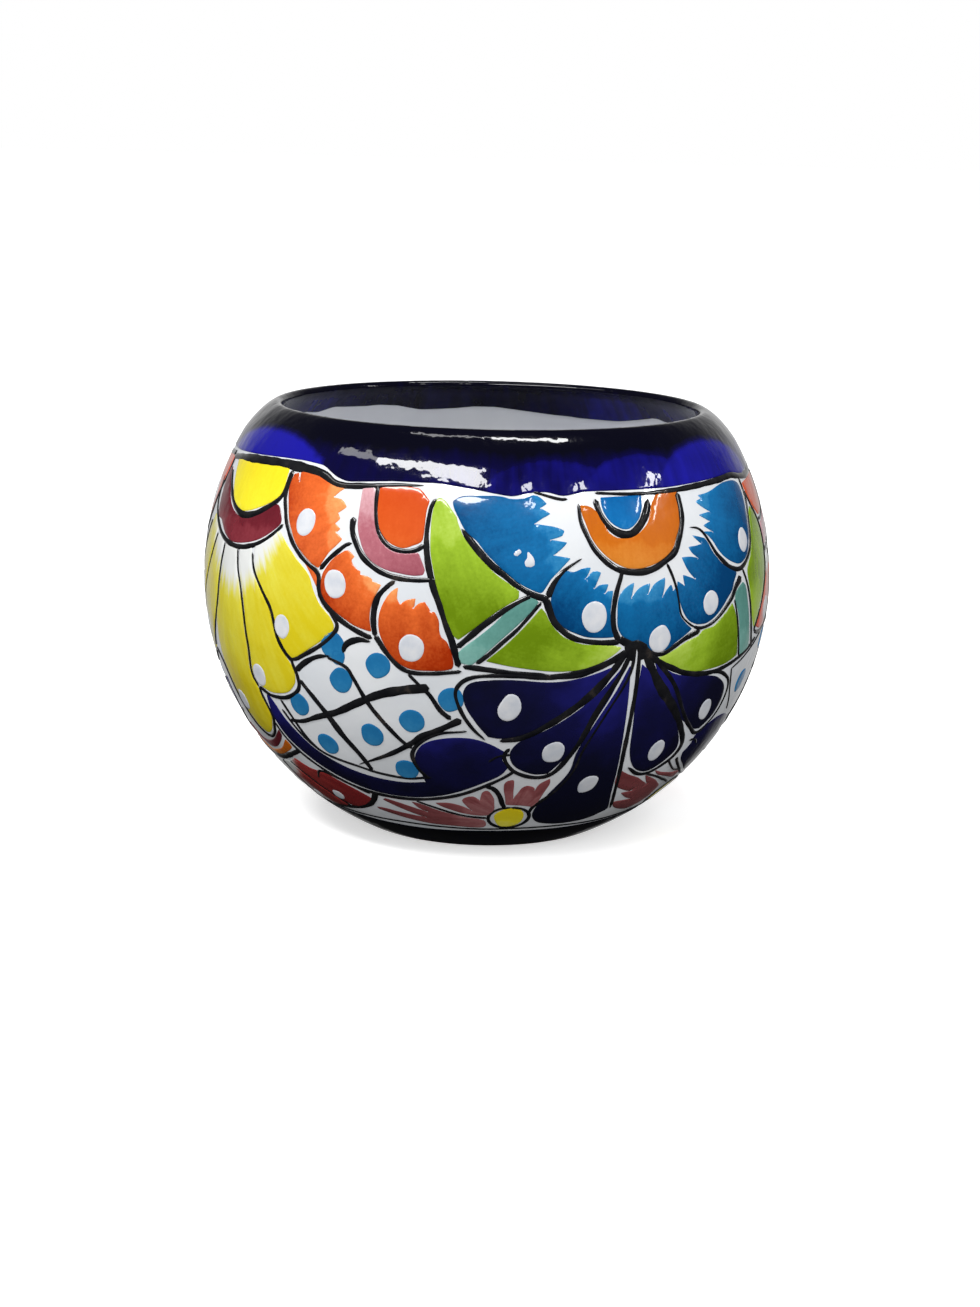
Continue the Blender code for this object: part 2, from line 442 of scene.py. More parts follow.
def cup_flower(hand, petal, arc, disc):
    """Half a flower hung from the rim: a disc, a band round it and a skirt of long petals."""
    flow = hand.around((-58, 156), (20, 29), 2.6)
    hand.fill("disc", disc, [(-71, 155, 1), (-65, 143), (-60, 139.5), (-56, 139.8), (-50, 143.5),
        (-46.5, 148), (-46.6, 156.8, 1), (-54, 157), (-62, 156.4)])
    hand.fill("arc", arc, [(-75.3, 150, 1), (-72, 135.5), (-68, 133.2), (-64, 129.5), (-60, 128),
        (-55, 129), (-50, 131.5), (-46, 135.5), (-44.3, 139), (-46.5, 144), (-50, 141), (-55, 137.3),
        (-60, 137), (-66, 141), (-73, 151.5, 1)])
    petals = (
        [(-44.4, 136, 1), (-42.4, 133.2), (-38.3, 127.6), (-35.2, 123.6), (-33.8, 119),
         (-32.2, 114.6), (-29.4, 110), (-29, 106.3), (-32, 101.8), (-38, 95), (-39.4, 94.3, 1),
         (-41.5, 96.5), (-43.5, 101), (-44.3, 106), (-45.5, 111), (-48, 116), (-50.3, 121.5),
         (-50.8, 130, 1)],
        [(-51.9, 129.5, 1), (-51, 121.5), (-48, 115.5), (-45.2, 110.5), (-44.2, 105), (-43.3, 100),
         (-41.3, 95), (-39.5, 91), (-39.2, 86), (-41.5, 81.5), (-44.5, 79.6), (-48, 79), (-51.4, 80.6, 1),
         (-52.7, 84.5), (-52.2, 93), (-52.6, 100), (-53, 107), (-54, 114.2), (-55.6, 120),
         (-56.3, 127.5, 1)],
        [(-57.3, 127.4, 1), (-56.6, 120), (-55, 114), (-54, 107), (-53.6, 100), (-53.3, 93), (-53.8, 84),
         (-52.2, 78.5), (-51, 69), (-52, 65), (-54, 61), (-57.5, 58.5), (-61.5, 61.5), (-64.5, 70),
         (-68, 84, 1), (-67.8, 93), (-66.9, 100), (-65.1, 106), (-64.1, 113), (-63.4, 120),
         (-62.8, 127.2, 1)],
        [(-64, 127.6, 1), (-64.7, 120), (-65.4, 113), (-66.4, 106), (-68.2, 100), (-70.7, 94),
         (-73.5, 86), (-78, 81), (-82.5, 86), (-82, 95), (-78, 104), (-74, 112), (-71, 119),
         (-68, 128.5, 1)],
        [(-69, 130, 1), (-71.8, 120), (-75, 112.5), (-79, 105), (-83.2, 99), (-85.5, 104), (-83.5, 112),
         (-79.5, 120), (-76, 129), (-73.5, 134.5, 1)],
    )
    for outline in petals:
        hand.fill("petals", petal, outline, flow)
    hand.line([(-72, 150.5), (-66, 143), (-60, 138.3), (-55, 138.5), (-50, 142), (-46, 147.5),
        (-45.6, 156)], (1.3, 2.2, 1.6))
    hand.line([(-77, 147), (-75, 138), (-70, 132), (-65, 128.3), (-60, 126.9), (-55, 127.4), (-50, 130),
        (-46, 134), (-43.5, 138)], (1.2, 1.8, 1.3))
    hand.line([(-51.3, 126.5), (-50, 121), (-47, 115), (-44.5, 110), (-43.5, 105.5), (-42.7, 100.5),
        (-41, 96), (-39, 93)], (1.0, 1.7, 1.7))
    hand.line([(-57, 126.5), (-56, 120), (-54.5, 114), (-53.5, 107), (-53, 100), (-52.7, 93), (-53.2, 84),
        (-51.8, 79.5)], (0.8, 1.1))
    hand.line([(-63.3, 126.5), (-64, 120), (-64.7, 113), (-65.7, 106), (-67.5, 100), (-70, 94),
        (-73, 87)], (0.8, 1.2))
    hand.line([(-68.5, 128.5), (-72, 117), (-75.5, 109), (-80, 101), (-83.3, 96)], (1.0, 1.4))
    hand.line([(-32.5, 118), (-29, 111), (-28.2, 107), (-31.3, 101.3), (-37.5, 94.7), (-39.3, 93.3),
        (-38.4, 88), (-38.6, 83.5), (-41, 80), (-44, 78), (-48, 77.5), (-51.6, 78.7), (-50.3, 69),
        (-51.5, 64), (-53.3, 60), (-57, 57), (-61.5, 59.5), (-65, 68), (-68.4, 81), (-73, 85.5),
        (-78, 79.6), (-83.2, 84.5), (-83.3, 96.5), (-86.3, 102), (-84.6, 112), (-80, 121), (-76, 131)],
        1.3)
    for az, t in ((-41.3, 104.5), (-50.3, 84.5), (-62.5, 70), (-77, 93), (-82, 107)):
        hand.dot(az, t, 3.5, 4.0)


def star_flower(hand, petal, arc, disc):
    """A half flower with brushed petals round a band and a disc, cut off by a leaf on its right."""
    flow = hand.around((-15, 156), (23, 33), 2.1)
    low = hand.around((-15, 156), (22, 32), 1.6)
    hand.fill("petals", petal, [(-44.7, 152.6), (-44.5, 155.4, 1), (-43.6, 155.9), (-42.2, 152.9, 1),
        (-42.8, 156.3, 1), (-40, 156.7), (-37, 156.5), (-34.6, 155.7), (-32.5, 154.6), (-29.3, 154, 1),
        (-31.1, 151.6), (-32.3, 149.5, 1), (-30, 148.8), (-28.7, 146.8, 1), (-30.4, 144.5, 1),
        (-29.6, 142.8, 1), (-30.6, 141, 1), (-29.2, 139.5, 1), (-30, 138.1, 1), (-28.4, 136.2, 1),
        (-29.7, 133.7), (-30.9, 131.6), (-32, 128.6), (-32.9, 126, 1), (-34.3, 126.9), (-36.6, 129.3),
        (-39.3, 133), (-40.8, 136.4), (-42.2, 140), (-43.3, 144.4), (-44.5, 149.3)], flow)
    hand.fill("petals", petal, [(-31.9, 123.4), (-31.3, 125.9), (-30, 129.2), (-28.5, 131.4),
        (-26.8, 132.8), (-25.2, 131, 1), (-25.8, 129.6), (-24.9, 127.6), (-23.8, 126.6, 1),
        (-23.7, 125.5, 1), (-22.2, 125.2), (-21.3, 124.6, 1), (-21.2, 123.8, 1), (-19.4, 123, 1),
        (-20, 120.9), (-20.8, 118.2), (-21.3, 114.7), (-21.4, 111.4), (-21, 107.6, 1), (-22.2, 107.9),
        (-24.5, 109), (-27.1, 111.3), (-29.4, 113.7), (-31, 116.2), (-31.9, 119.3)], low)
    hand.fill("petals", petal, [(-16.1, 122.6, 1), (-16.2, 119), (-15.5, 117.2, 1), (-14.4, 118.7),
        (-12.7, 119.5, 1), (-13, 116.2, 1), (-12, 118), (-10.9, 118.6, 1), (-10.1, 116.4),
        (-9.8, 115.4, 1), (-9.1, 115.6, 1), (-8.3, 112.7), (-8.2, 109.8), (-7.8, 107.5), (-6.8, 106.1),
        (-6, 102.8), (-5.5, 99), (-5.8, 97.2, 1), (-7.2, 96.5), (-10.1, 96.1), (-13, 96.1), (-15, 97.2),
        (-16.7, 99.6), (-18.1, 102.8), (-19.2, 106.5), (-19.6, 110.6), (-19.3, 114.7), (-18.4, 118.4),
        (-17.3, 121.1)], low)
    hand.fill("arc", arc, [(-26, 154.2, 1), (-23.3, 154.6, 1), (-22.9, 150), (-22.4, 146), (-21.5, 140.4),
        (-20.2, 137), (-18.6, 134.7), (-17, 133.7), (-15, 133.5), (-12.7, 134.1, 1), (-12, 131.6),
        (-11.3, 128.7), (-11.5, 127.2, 1), (-13.3, 126.8), (-15.8, 127.2), (-18.4, 127.9), (-21, 129.6),
        (-23.1, 132.5), (-24.4, 136.2), (-25.4, 140.7), (-25.7, 145.6)], hand.along((-24, 154),
        (-18, 128)))
    hand.fill("disc", disc, [(-22.2, 154.7, 1), (-18.2, 155.4), (-14.7, 155), (-13.4, 154.3),
        (-11.5, 151, 1), (-11.9, 147.3), (-12, 140), (-12.4, 137.6), (-13.8, 136.4), (-15.7, 135.3),
        (-17.9, 136.2), (-19.6, 138.2), (-20.9, 141.1), (-21.6, 144.8), (-22, 150)])
    hand.fill("petals", petal, [(-36.6, 127.6, 1), (-33, 124.6), (-32.6, 119, 1), (-33.4, 121),
        (-35, 124.6)], flow)
    hand.line([(-45.3, 156.5), (-45.3, 151.5), (-45, 147.3), (-43.9, 143.2), (-42.9, 139.5),
        (-41.6, 136.2), (-39.9, 132.7), (-37.6, 129.2), (-35.3, 126.7), (-33.4, 125), (-32.6, 123),
        (-32.4, 119.5), (-31.6, 116.2), (-30.1, 113.6), (-28, 110.9), (-25.8, 108.7), (-23.3, 106.8),
        (-20.8, 105.4)], (1.6, 1.7, 1.5, 1.9, 1.5))
    hand.line([(-26.1, 135.3), (-27.4, 134.5), (-29.1, 132), (-30.8, 129.2), (-32.5, 125.6)],
        (1.0, 1.5, 1.6))
    hand.line([(-16.7, 124.7), (-18.2, 122.6), (-19.8, 119.3), (-20.5, 115.1), (-20.6, 110.6),
        (-20.2, 106)], (1.2, 2.0, 1.7))
    hand.line([(-22.7, 155), (-22.5, 149.8), (-22, 145.2), (-21.2, 140.7), (-19.9, 137.4), (-18.1, 135.1),
        (-15.6, 134.3), (-13.3, 134.9), (-11.6, 136.7)], (1.2, 1.5))
    hand.line([(-26.7, 143.8), (-26.5, 139.5), (-25.5, 136), (-23.9, 132), (-21.9, 129.2), (-19.3, 126.9),
        (-16.4, 125.7), (-13, 125.4), (-9.2, 125.8)], (2.0, 1.4))
    hand.line([(-10.2, 152), (-11, 149), (-11.3, 144.4), (-11.4, 140.3), (-11.2, 135.8), (-10.8, 131.6),
        (-10.2, 127.5), (-9.4, 123), (-8.2, 118), (-7.1, 112.3), (-6, 107.3), (-5.2, 102.4),
        (-4.5, 97.8)], (1.1, 2.0, 1.9))
    hand.line([(-20.3, 106.5), (-19.4, 104.3), (-18.3, 101.5), (-16.8, 98.5), (-15, 96), (-12.7, 95),
        (-9.5, 95.2), (-6.6, 95.8), (-4, 96.4)], (1.8, 1.1))
    hand.dot(-37.6, 140, 3.9, 4.6, -8)
    hand.dot(-28.9, 121.7, 4.1, 4.9, 8)
    hand.dot(-13.2, 103.4, 4.2, 4.4, -10)


def sun_flower(hand, petal, arc, disc):
    """The big half flower: five brushed petals round a broad band and a disc."""
    low = hand.around((29.5, 153), (22, 28), 1.75)
    flow = hand.around((29.5, 153), (22, 28), 2.7)
    hand.fill("petals", petal, [(-6.8, 151.4, 1), (-5, 153), (-1.8, 153.3), (2.2, 153.4), (4.9, 152.5),
        (7.4, 152.8), (9.2, 153.8), (10.5, 152.9), (11.7, 151, 1), (10.3, 149.6, 1), (12.3, 147.7, 1),
        (10.5, 146.1), (9, 144.4, 1), (11.7, 143.8), (13.5, 143.1), (14.9, 142.1, 1), (14.4, 140.6),
        (12, 139.3, 1), (15.3, 138.3, 1), (14.2, 136.5), (12.5, 134.3, 1), (15.8, 133.2, 1),
        (14.8, 131.6), (13.4, 129.2), (12, 126.8), (10.8, 123.7), (10.2, 122.3, 1), (8.6, 123.3),
        (5.8, 125.9), (4.3, 128.1), (2.2, 131.2), (0, 134.9), (-1.8, 138.7), (-4, 141.9), (-5.5, 146.1),
        (-6.5, 149.2)], flow)
    hand.fill("petals", petal, [(12, 120.6), (12.5, 123.7), (13.3, 127), (14.7, 129.2), (16.3, 128.8),
        (18.2, 129.9), (19.7, 130.1, 1), (19.1, 128.1), (18.5, 126.4, 1), (20.2, 128.8), (21.7, 128.4, 1),
        (21.1, 126.4), (20.2, 123.1, 1), (21.4, 124.3), (23.1, 124.5, 1), (22.3, 121.3, 1), (23, 122.2),
        (24, 122.3, 1), (23.6, 118.4), (23.4, 114), (23.7, 109.6), (24.3, 107.2, 1), (22.2, 107.2),
        (19.1, 107.7), (16.9, 109), (14.8, 110.8), (13.2, 113.5), (12.3, 117)], low)
    hand.fill("petals", petal, [(24.9, 114.9), (25, 118.4), (25.6, 121.3), (27.1, 123.4),
        (28.5, 124.4, 1), (27.7, 119.3, 1), (29.2, 122), (30.6, 123.2), (32, 123.7, 1), (31.4, 120, 1),
        (33, 123.3), (35.5, 125.1, 1), (35.3, 122.4), (34.6, 118.4, 1), (35.7, 120.8), (36.9, 122.6, 1),
        (37.4, 120.4, 1), (37.9, 121.4, 1), (38.4, 117.1), (39, 112.2), (40.6, 109), (42.3, 106.8, 1),
        (40.4, 104.9), (38.2, 103), (36.6, 101.3), (35.1, 100.8), (32.6, 101.5), (31.1, 103.2),
        (30.2, 104.6), (28.9, 104.6), (27.4, 105.9), (25.9, 107.6), (25, 110.5)], low)
    hand.fill("petals", petal, [(38.5, 120), (38.5, 123.4, 1), (40.3, 121.5, 1), (40, 125.2, 1),
        (41.4, 124.3), (43.3, 123.1, 1), (41.4, 126.6), (40.1, 130.9, 1), (42.4, 130.7), (44.6, 129.9, 1),
        (43, 132), (42.2, 134, 1), (44.6, 134), (46, 134.4, 1), (43.7, 137.6, 1), (46.4, 136.4),
        (47.6, 135.4), (49, 131.4), (50.5, 128.6), (52.3, 126), (54.9, 124), (57, 122.3, 1),
        (55.7, 119.7), (54.8, 116.9), (53.4, 115), (51, 111.6), (48.5, 109), (46.2, 107.8),
        (43.7, 108, 1), (41.6, 109.6), (40.1, 112.4), (39.1, 116)], low)
    hand.fill("petals", petal, [(48.1, 150.4, 1), (51.7, 150.8), (54.9, 151.8), (57.4, 152.6), (60, 153),
        (64.6, 152.6), (66.8, 150.6), (66.9, 146.3), (66.2, 141.7), (65.4, 137.6), (64.6, 133.4),
        (63.3, 129.2), (61.9, 126.8), (60, 125.4), (58.1, 125.1), (55.5, 126.4), (52.9, 128.7),
        (51, 131.6), (49.9, 134.3), (48.7, 136.4), (47.4, 138.2, 1), (50.4, 137.6, 1), (49, 138.8),
        (47.6, 140.2, 1), (50, 141.2, 1), (46.9, 143.9, 1), (50.7, 144.4, 1), (48.6, 146.4),
        (46.9, 148.4, 1), (48.8, 149.3, 1)], flow)
    hand.fill("arc", arc, [(18.5, 150.3, 1), (18.8, 147), (19.4, 143.9), (20.1, 140.2), (21.3, 136.7),
        (23.2, 133.2), (25, 131), (27.2, 129.3), (30.2, 128.9), (33.2, 129.8), (36, 131.8), (38.2, 134.5),
        (39.4, 138), (40.8, 141.7), (41.8, 146.3), (42.2, 149.9), (42.2, 153, 1), (36.6, 153, 1),
        (34.7, 149.4), (33.9, 146.4), (32.9, 143.3), (31.4, 141.1), (29.5, 139.3), (27.4, 138.7),
        (25.2, 139.4), (23.7, 141.5), (23.2, 144), (22.4, 146.8), (20.6, 149.6)])
    hand.fill("disc", disc, [(23.1, 152.6, 1), (23.1, 150), (23.6, 146.9), (24.7, 144.3), (26.2, 142.5),
        (27.7, 141.8), (29.2, 142.5), (30.8, 144.7), (31.8, 147.4), (32.3, 150), (32.5, 152.6, 1)])
    hand.line([(18.2, 150.8), (18.3, 145.3), (19.2, 140.8), (20.6, 136), (22.5, 132.3), (24.9, 129.3),
        (27.4, 128), (30.2, 127.6), (33, 128.3), (35.8, 130.4), (38.6, 133.2), (40.1, 137.4),
        (41.3, 141.7), (41.9, 146.3), (42, 152.4)], (0.9, 1.8, 1.9, 2.2, 2.4))
    hand.line([(21.8, 152.2), (22.3, 148.3), (23.1, 145.2), (24.7, 142), (26.8, 140.2), (28.9, 140.3),
        (30.8, 142.4), (32.3, 145.2), (33.4, 148.3), (34, 151.2)], (1.6, 2.4, 2.3), (0.8, 2))
    hand.line([(-4.8, 142.5), (-2.9, 138.5), (-0.9, 134.4), (1.2, 130.9), (3.7, 127.6), (5.8, 124.7),
        (8.6, 121.8), (10.7, 120.6), (11.2, 119.5), (11.7, 117), (12.6, 113.2), (14.3, 110),
        (16.4, 107.5), (19.1, 106.2), (22.2, 105.5), (25.6, 105.3)], (1.6, 2.2, 1.6, 2.2, 1.6, 1.6),
        (3, 1))
    hand.line([(18, 133.1), (15, 130), (13.4, 127.4), (12.2, 124.2), (11.4, 120.8)], (0.5, 1.2, 2.2))
    hand.line([(26.2, 129.5), (25.7, 126.4), (24.9, 122.7), (24.3, 118.6), (24, 114), (24.3, 109.6),
        (25.4, 105.6)], (1.1, 1.8, 1.7))
    hand.line([(25.2, 106.6), (27.4, 104.6), (29.6, 103.6), (31.4, 101.8), (33.2, 100.2), (35.6, 99.8),
        (38, 101.6), (41, 104), (44.6, 105.6)], (2.4, 1.4, 1.7), (0.8, 1))
    hand.line([(36.2, 129.6), (37.2, 125.9), (38.1, 121.5), (38.6, 117.2), (39.4, 112), (41.6, 108.6),
        (43.4, 107)], (1.0, 0.7, 0.6), (0.8, 1))
    hand.line([(42.7, 107.4), (44.6, 106.5), (47, 106.8), (49.6, 108.4), (52.4, 111.4), (55, 114.8),
        (56.4, 117.8), (58.6, 120.4)], (1.0, 1.2, 2.6), (1, 1))
    hand.line([(43.4, 140.4), (45.6, 139.7), (47.2, 137.7), (48.8, 133.9), (50.2, 130.5), (52.1, 127.6),
        (54.2, 125), (56.8, 123.5), (59, 123.4), (61.2, 124.8), (63.4, 127.4), (64.8, 130.4),
        (65.7, 134.3), (66.6, 138.9), (67.7, 143.1), (68.4, 147.2), (68.4, 153.6)], (0.6, 1.6, 1.4, 1.4),
        (3, 1))
    hand.dot(20.2, 114, 4.2, 4.9, 4)
    hand.dot(34.4, 105, 4.3, 4.4, -4)
    hand.dot(47.5, 114.3, 4.0, 4.0, 12)
    hand.dot(61.1, 132.5, 3.5, 4.2, -10)
    for wedge in ([(5.1, 133.9), (5, 135), (6.4, 136.6), (6.8, 136), (5.8, 134.2)],
                  [(7.5, 136.1, 1), (7.6, 133.6), (6.8, 131.6), (7.4, 130.8), (8.9, 130.6, 1),
                   (8.8, 133.4)]):
        hand.fill("marks", "dot", wedge, lift=DOT)


def coral_flower(hand, petal, arc, disc):
    """A half flower that a leaf cuts off on its left."""
    centre = (75, 154)
    flow = hand.around(centre, (23, 31), 2.0)
    tips = hand.feather
    hand.fill("petals", petal, [(104.3, 154.6, 1), (104.4, 149), (102.4, 140), (99.2, 133), (96, 128.4),
        (92.8, 125.4, 1), (91, 129.4), (89.6, 132.4, 1), *tips(centre, (23, 29), 44, 86, 5, 5),
        (93, 153.4, 1)], flow)
    hand.fill("petals", petal, [(91.7, 124), (90.8, 127), (89, 130.4), (87.4, 131.6, 1), *tips(centre,
        (20, 29), 34, 10, 4, 5), (79.4, 120, 1), (80.6, 116), (81, 111), (80.6, 105.6, 1), (84, 107),
        (88, 110.6), (91, 115), (92, 119.5)], flow)
    hand.fill("petals", petal, [(78.6, 120.6, 1), *tips(centre, (20, 30), 6, -2, 2, 6), (74.8, 122, 1),
        (74.6, 118), (73, 112.4), (70.6, 106.6), (68, 100.4, 1), (71, 98.8), (74.6, 98.8), (77.4, 101),
        (79.4, 105.6), (79.8, 111), (79.6, 116)], flow)
    hand.fill("arc", arc, [(75.2, 135.2, 1), (78.6, 135.4), (82.4, 137), (85.2, 141), (86.4, 146.5),
        (86.6, 151.8, 1), (89.6, 152, 1), (89.4, 146.5), (88.2, 140), (85.6, 134.4), (82, 130),
        (78.4, 127.6), (75, 127.2, 1)])
    hand.fill("disc", disc, [(69.4, 150.6, 1), (70.2, 145.4), (72, 141.6), (74.8, 138, 1), (78, 138),
        (81, 139.6), (83.2, 143), (84.2, 147.5), (84.4, 151.6, 1), (77, 151.4)])
    hand.line([(74.4, 136.5), (78, 136.6), (81.6, 138.2), (84.2, 141.8), (85.3, 146.5), (85.5, 152)],
        (1.1, 1.5))
    hand.line([(74.6, 125.6), (78.8, 125.9), (83, 128.3), (87, 133), (89.6, 138.6), (90.6, 145)],
        (1.4, 1.8))
    hand.line([(88.6, 131.6), (90.4, 129.6), (92.4, 124.6)], (1.4, 1.6))
    hand.line([(79.4, 124.6), (80.6, 120.4), (81.2, 115), (81.2, 109.6), (80, 104.4)], (1.4, 1.9))
    hand.line([(105.2, 155), (105.2, 149), (103.4, 140.6), (100.2, 133), (96.6, 127.6), (93.2, 124),
        (93, 119), (91.8, 114), (88.6, 109.4), (84.4, 105.6), (80.4, 104), (78, 100.2), (75, 97.6),
        (71, 97.4), (67.4, 98.6)], (1.5, 1.8, 1.4))
    hand.dot(97.6, 139.6, 3.8, 4.6, 8)
    hand.dot(88.4, 119, 3.9, 4.7, -8)
    hand.dot(75, 105, 3.8, 4.2, 6)


# ------------------------------------------------------------------ leaves, fan and lattice


def leaves(hand):
    """Green leaves between the flowers, some with an aqua stripe beside them."""

    def leaf(knots, start, end):
        hand.fill("blades", "green", knots, hand.along(start, end))

    def stripe(knots):
        hand.fill("stripes", "aqua", knots)

    leaf([(-9.8, 152), (-8.4, 151.2), (-7.2, 148.9), (-5.9, 146), (-5.6, 144.4), (-4.3, 139.7),
        (-2.4, 135.6), (-0.2, 131.6), (1.9, 128.1), (4.3, 125.2), (6.1, 123, 1), (6, 120.8, 1),
        (4.3, 118.9), (2.2, 116.6), (-0.3, 113.2), (-2.8, 109.6), (-4.7, 107, 1), (-5.6, 108.4),
        (-6.6, 112), (-7.6, 116.4), (-8.6, 122), (-9.5, 128), (-10.3, 134), (-10.6, 139.9),
        (-10.6, 147.3)], (-9, 152), (0, 112))
    stripe([(-4.8, 102.4, 1), (-3.4, 104.8), (-0.9, 108.3), (1.6, 112.2), (4, 116.5), (6.5, 119.6),
        (8.6, 121.1, 1), (9.7, 119.5, 1), (8, 115.9), (5.5, 111.5), (2.8, 107.1), (0.3, 102.8),
        (-1.4, 99.9), (-2.6, 98.7), (-4.1, 99.3, 1)])
    leaf([(0.4, 100.2, 1), (1.6, 102), (3.8, 105.4), (6.3, 109.8), (8.7, 114.5), (10.2, 117.6, 1),
        (11, 115.8), (12.1, 112.2), (14, 108.6), (16, 106.6), (18.5, 105.2), (21.5, 104.7), (24.3, 104.2),
        (26, 103.4, 1), (24.4, 101.2), (21.6, 98.6), (18, 96.9), (13, 96.6), (6, 98.2)], (24, 100),
        (9, 110))
    leaf([(34, 98.3, 1), (36.9, 99.6), (41.4, 102.7), (44.3, 103.9), (45.6, 105.5), (48.5, 106),
        (50.4, 107.6), (52.9, 110), (54.9, 112.4, 1), (56.2, 109), (57.2, 105), (58.2, 99.5),
        (59.5, 93, 1), (57.4, 92), (54.2, 91.1), (49.4, 90.9), (45.6, 91.2), (41.4, 92.7), (38.2, 94.4),
        (35.4, 96.4)], (35, 98), (57, 105))
    stripe([(56.2, 112.4), (56.1, 114.6), (57, 116.6), (59.4, 118.4, 1), (60.6, 116.6), (61.5, 112),
        (62.5, 107), (63.5, 101.8), (64.6, 96.8), (65.3, 93.3, 1), (60.8, 92.4, 1), (59.8, 96),
        (58.9, 101.4), (57.6, 108.2)])
    leaf([(69.2, 142.4, 1), (67.7, 139.9), (66.6, 135.3), (65.5, 130.7), (64, 126.1), (62.3, 123.4),
        (61.8, 121), (62.3, 117.4), (63.1, 113.7), (64, 108.2), (65.3, 103.2), (66.6, 100.4, 1),
        (68.2, 104.3), (70, 108.9), (71.8, 113), (73, 117.5), (73.6, 122), (73.7, 128), (73.2, 133.4),
        (72, 137.6), (70.4, 141)], (66, 100), (67, 150))
    leaf([(93, 112, 1), (91, 108), (87.6, 104.4), (82, 101.4, 1), (84.6, 98), (89, 96), (94.6, 96.2, 1),
        (92.6, 99.6), (92, 103), (92.4, 107.6)], (93, 112), (88, 96))
    hand.line([(79, 101.6), (82, 98.4), (86, 95.6), (90.6, 94.4), (96, 95)], (1.0, 1.6, 1.2))
    hand.line([(-4.9, 104.4), (-2.5, 108.3), (0, 112.3), (2.5, 115.6), (4.3, 117.8), (6.2, 119.8),
        (8.4, 121.6)], (1.8, 1.8, 1.4))
    hand.line([(10.2, 119.6), (8, 114.9), (5.8, 110.5), (3.1, 106.1), (0.9, 102.4), (-1.4, 99.3)],
        (1.0, 1.2, 1.4))
    hand.line([(-3.8, 98.2), (5, 96.4), (10, 95.6), (14, 94.6), (18, 95), (22, 97.3), (27.5, 101.8)],
        (1.7, 1.2, 2.2))
    hand.line([(30, 102.3), (34, 97.8), (38, 94.4), (43, 91), (50, 89.4), (57, 90.4), (64, 93), (69, 96)],
        (2.4, 1.6, 1.2))
    hand.line([(55.7, 113.4), (57.1, 107.3), (58.5, 100.4), (60.3, 92.4)], (0.8, 0.9))
    hand.line([(59.4, 123), (60.8, 119.2), (62, 115), (63, 110.5), (64, 105), (65.2, 99.5), (67, 93.1)],
        (1.0, 1.3))
    hand.line([(68.8, 148), (70.4, 143), (73, 137), (74.4, 131), (74.3, 120), (72.2, 112), (69, 104.5),
        (66.8, 99)], (1.4, 1.4))


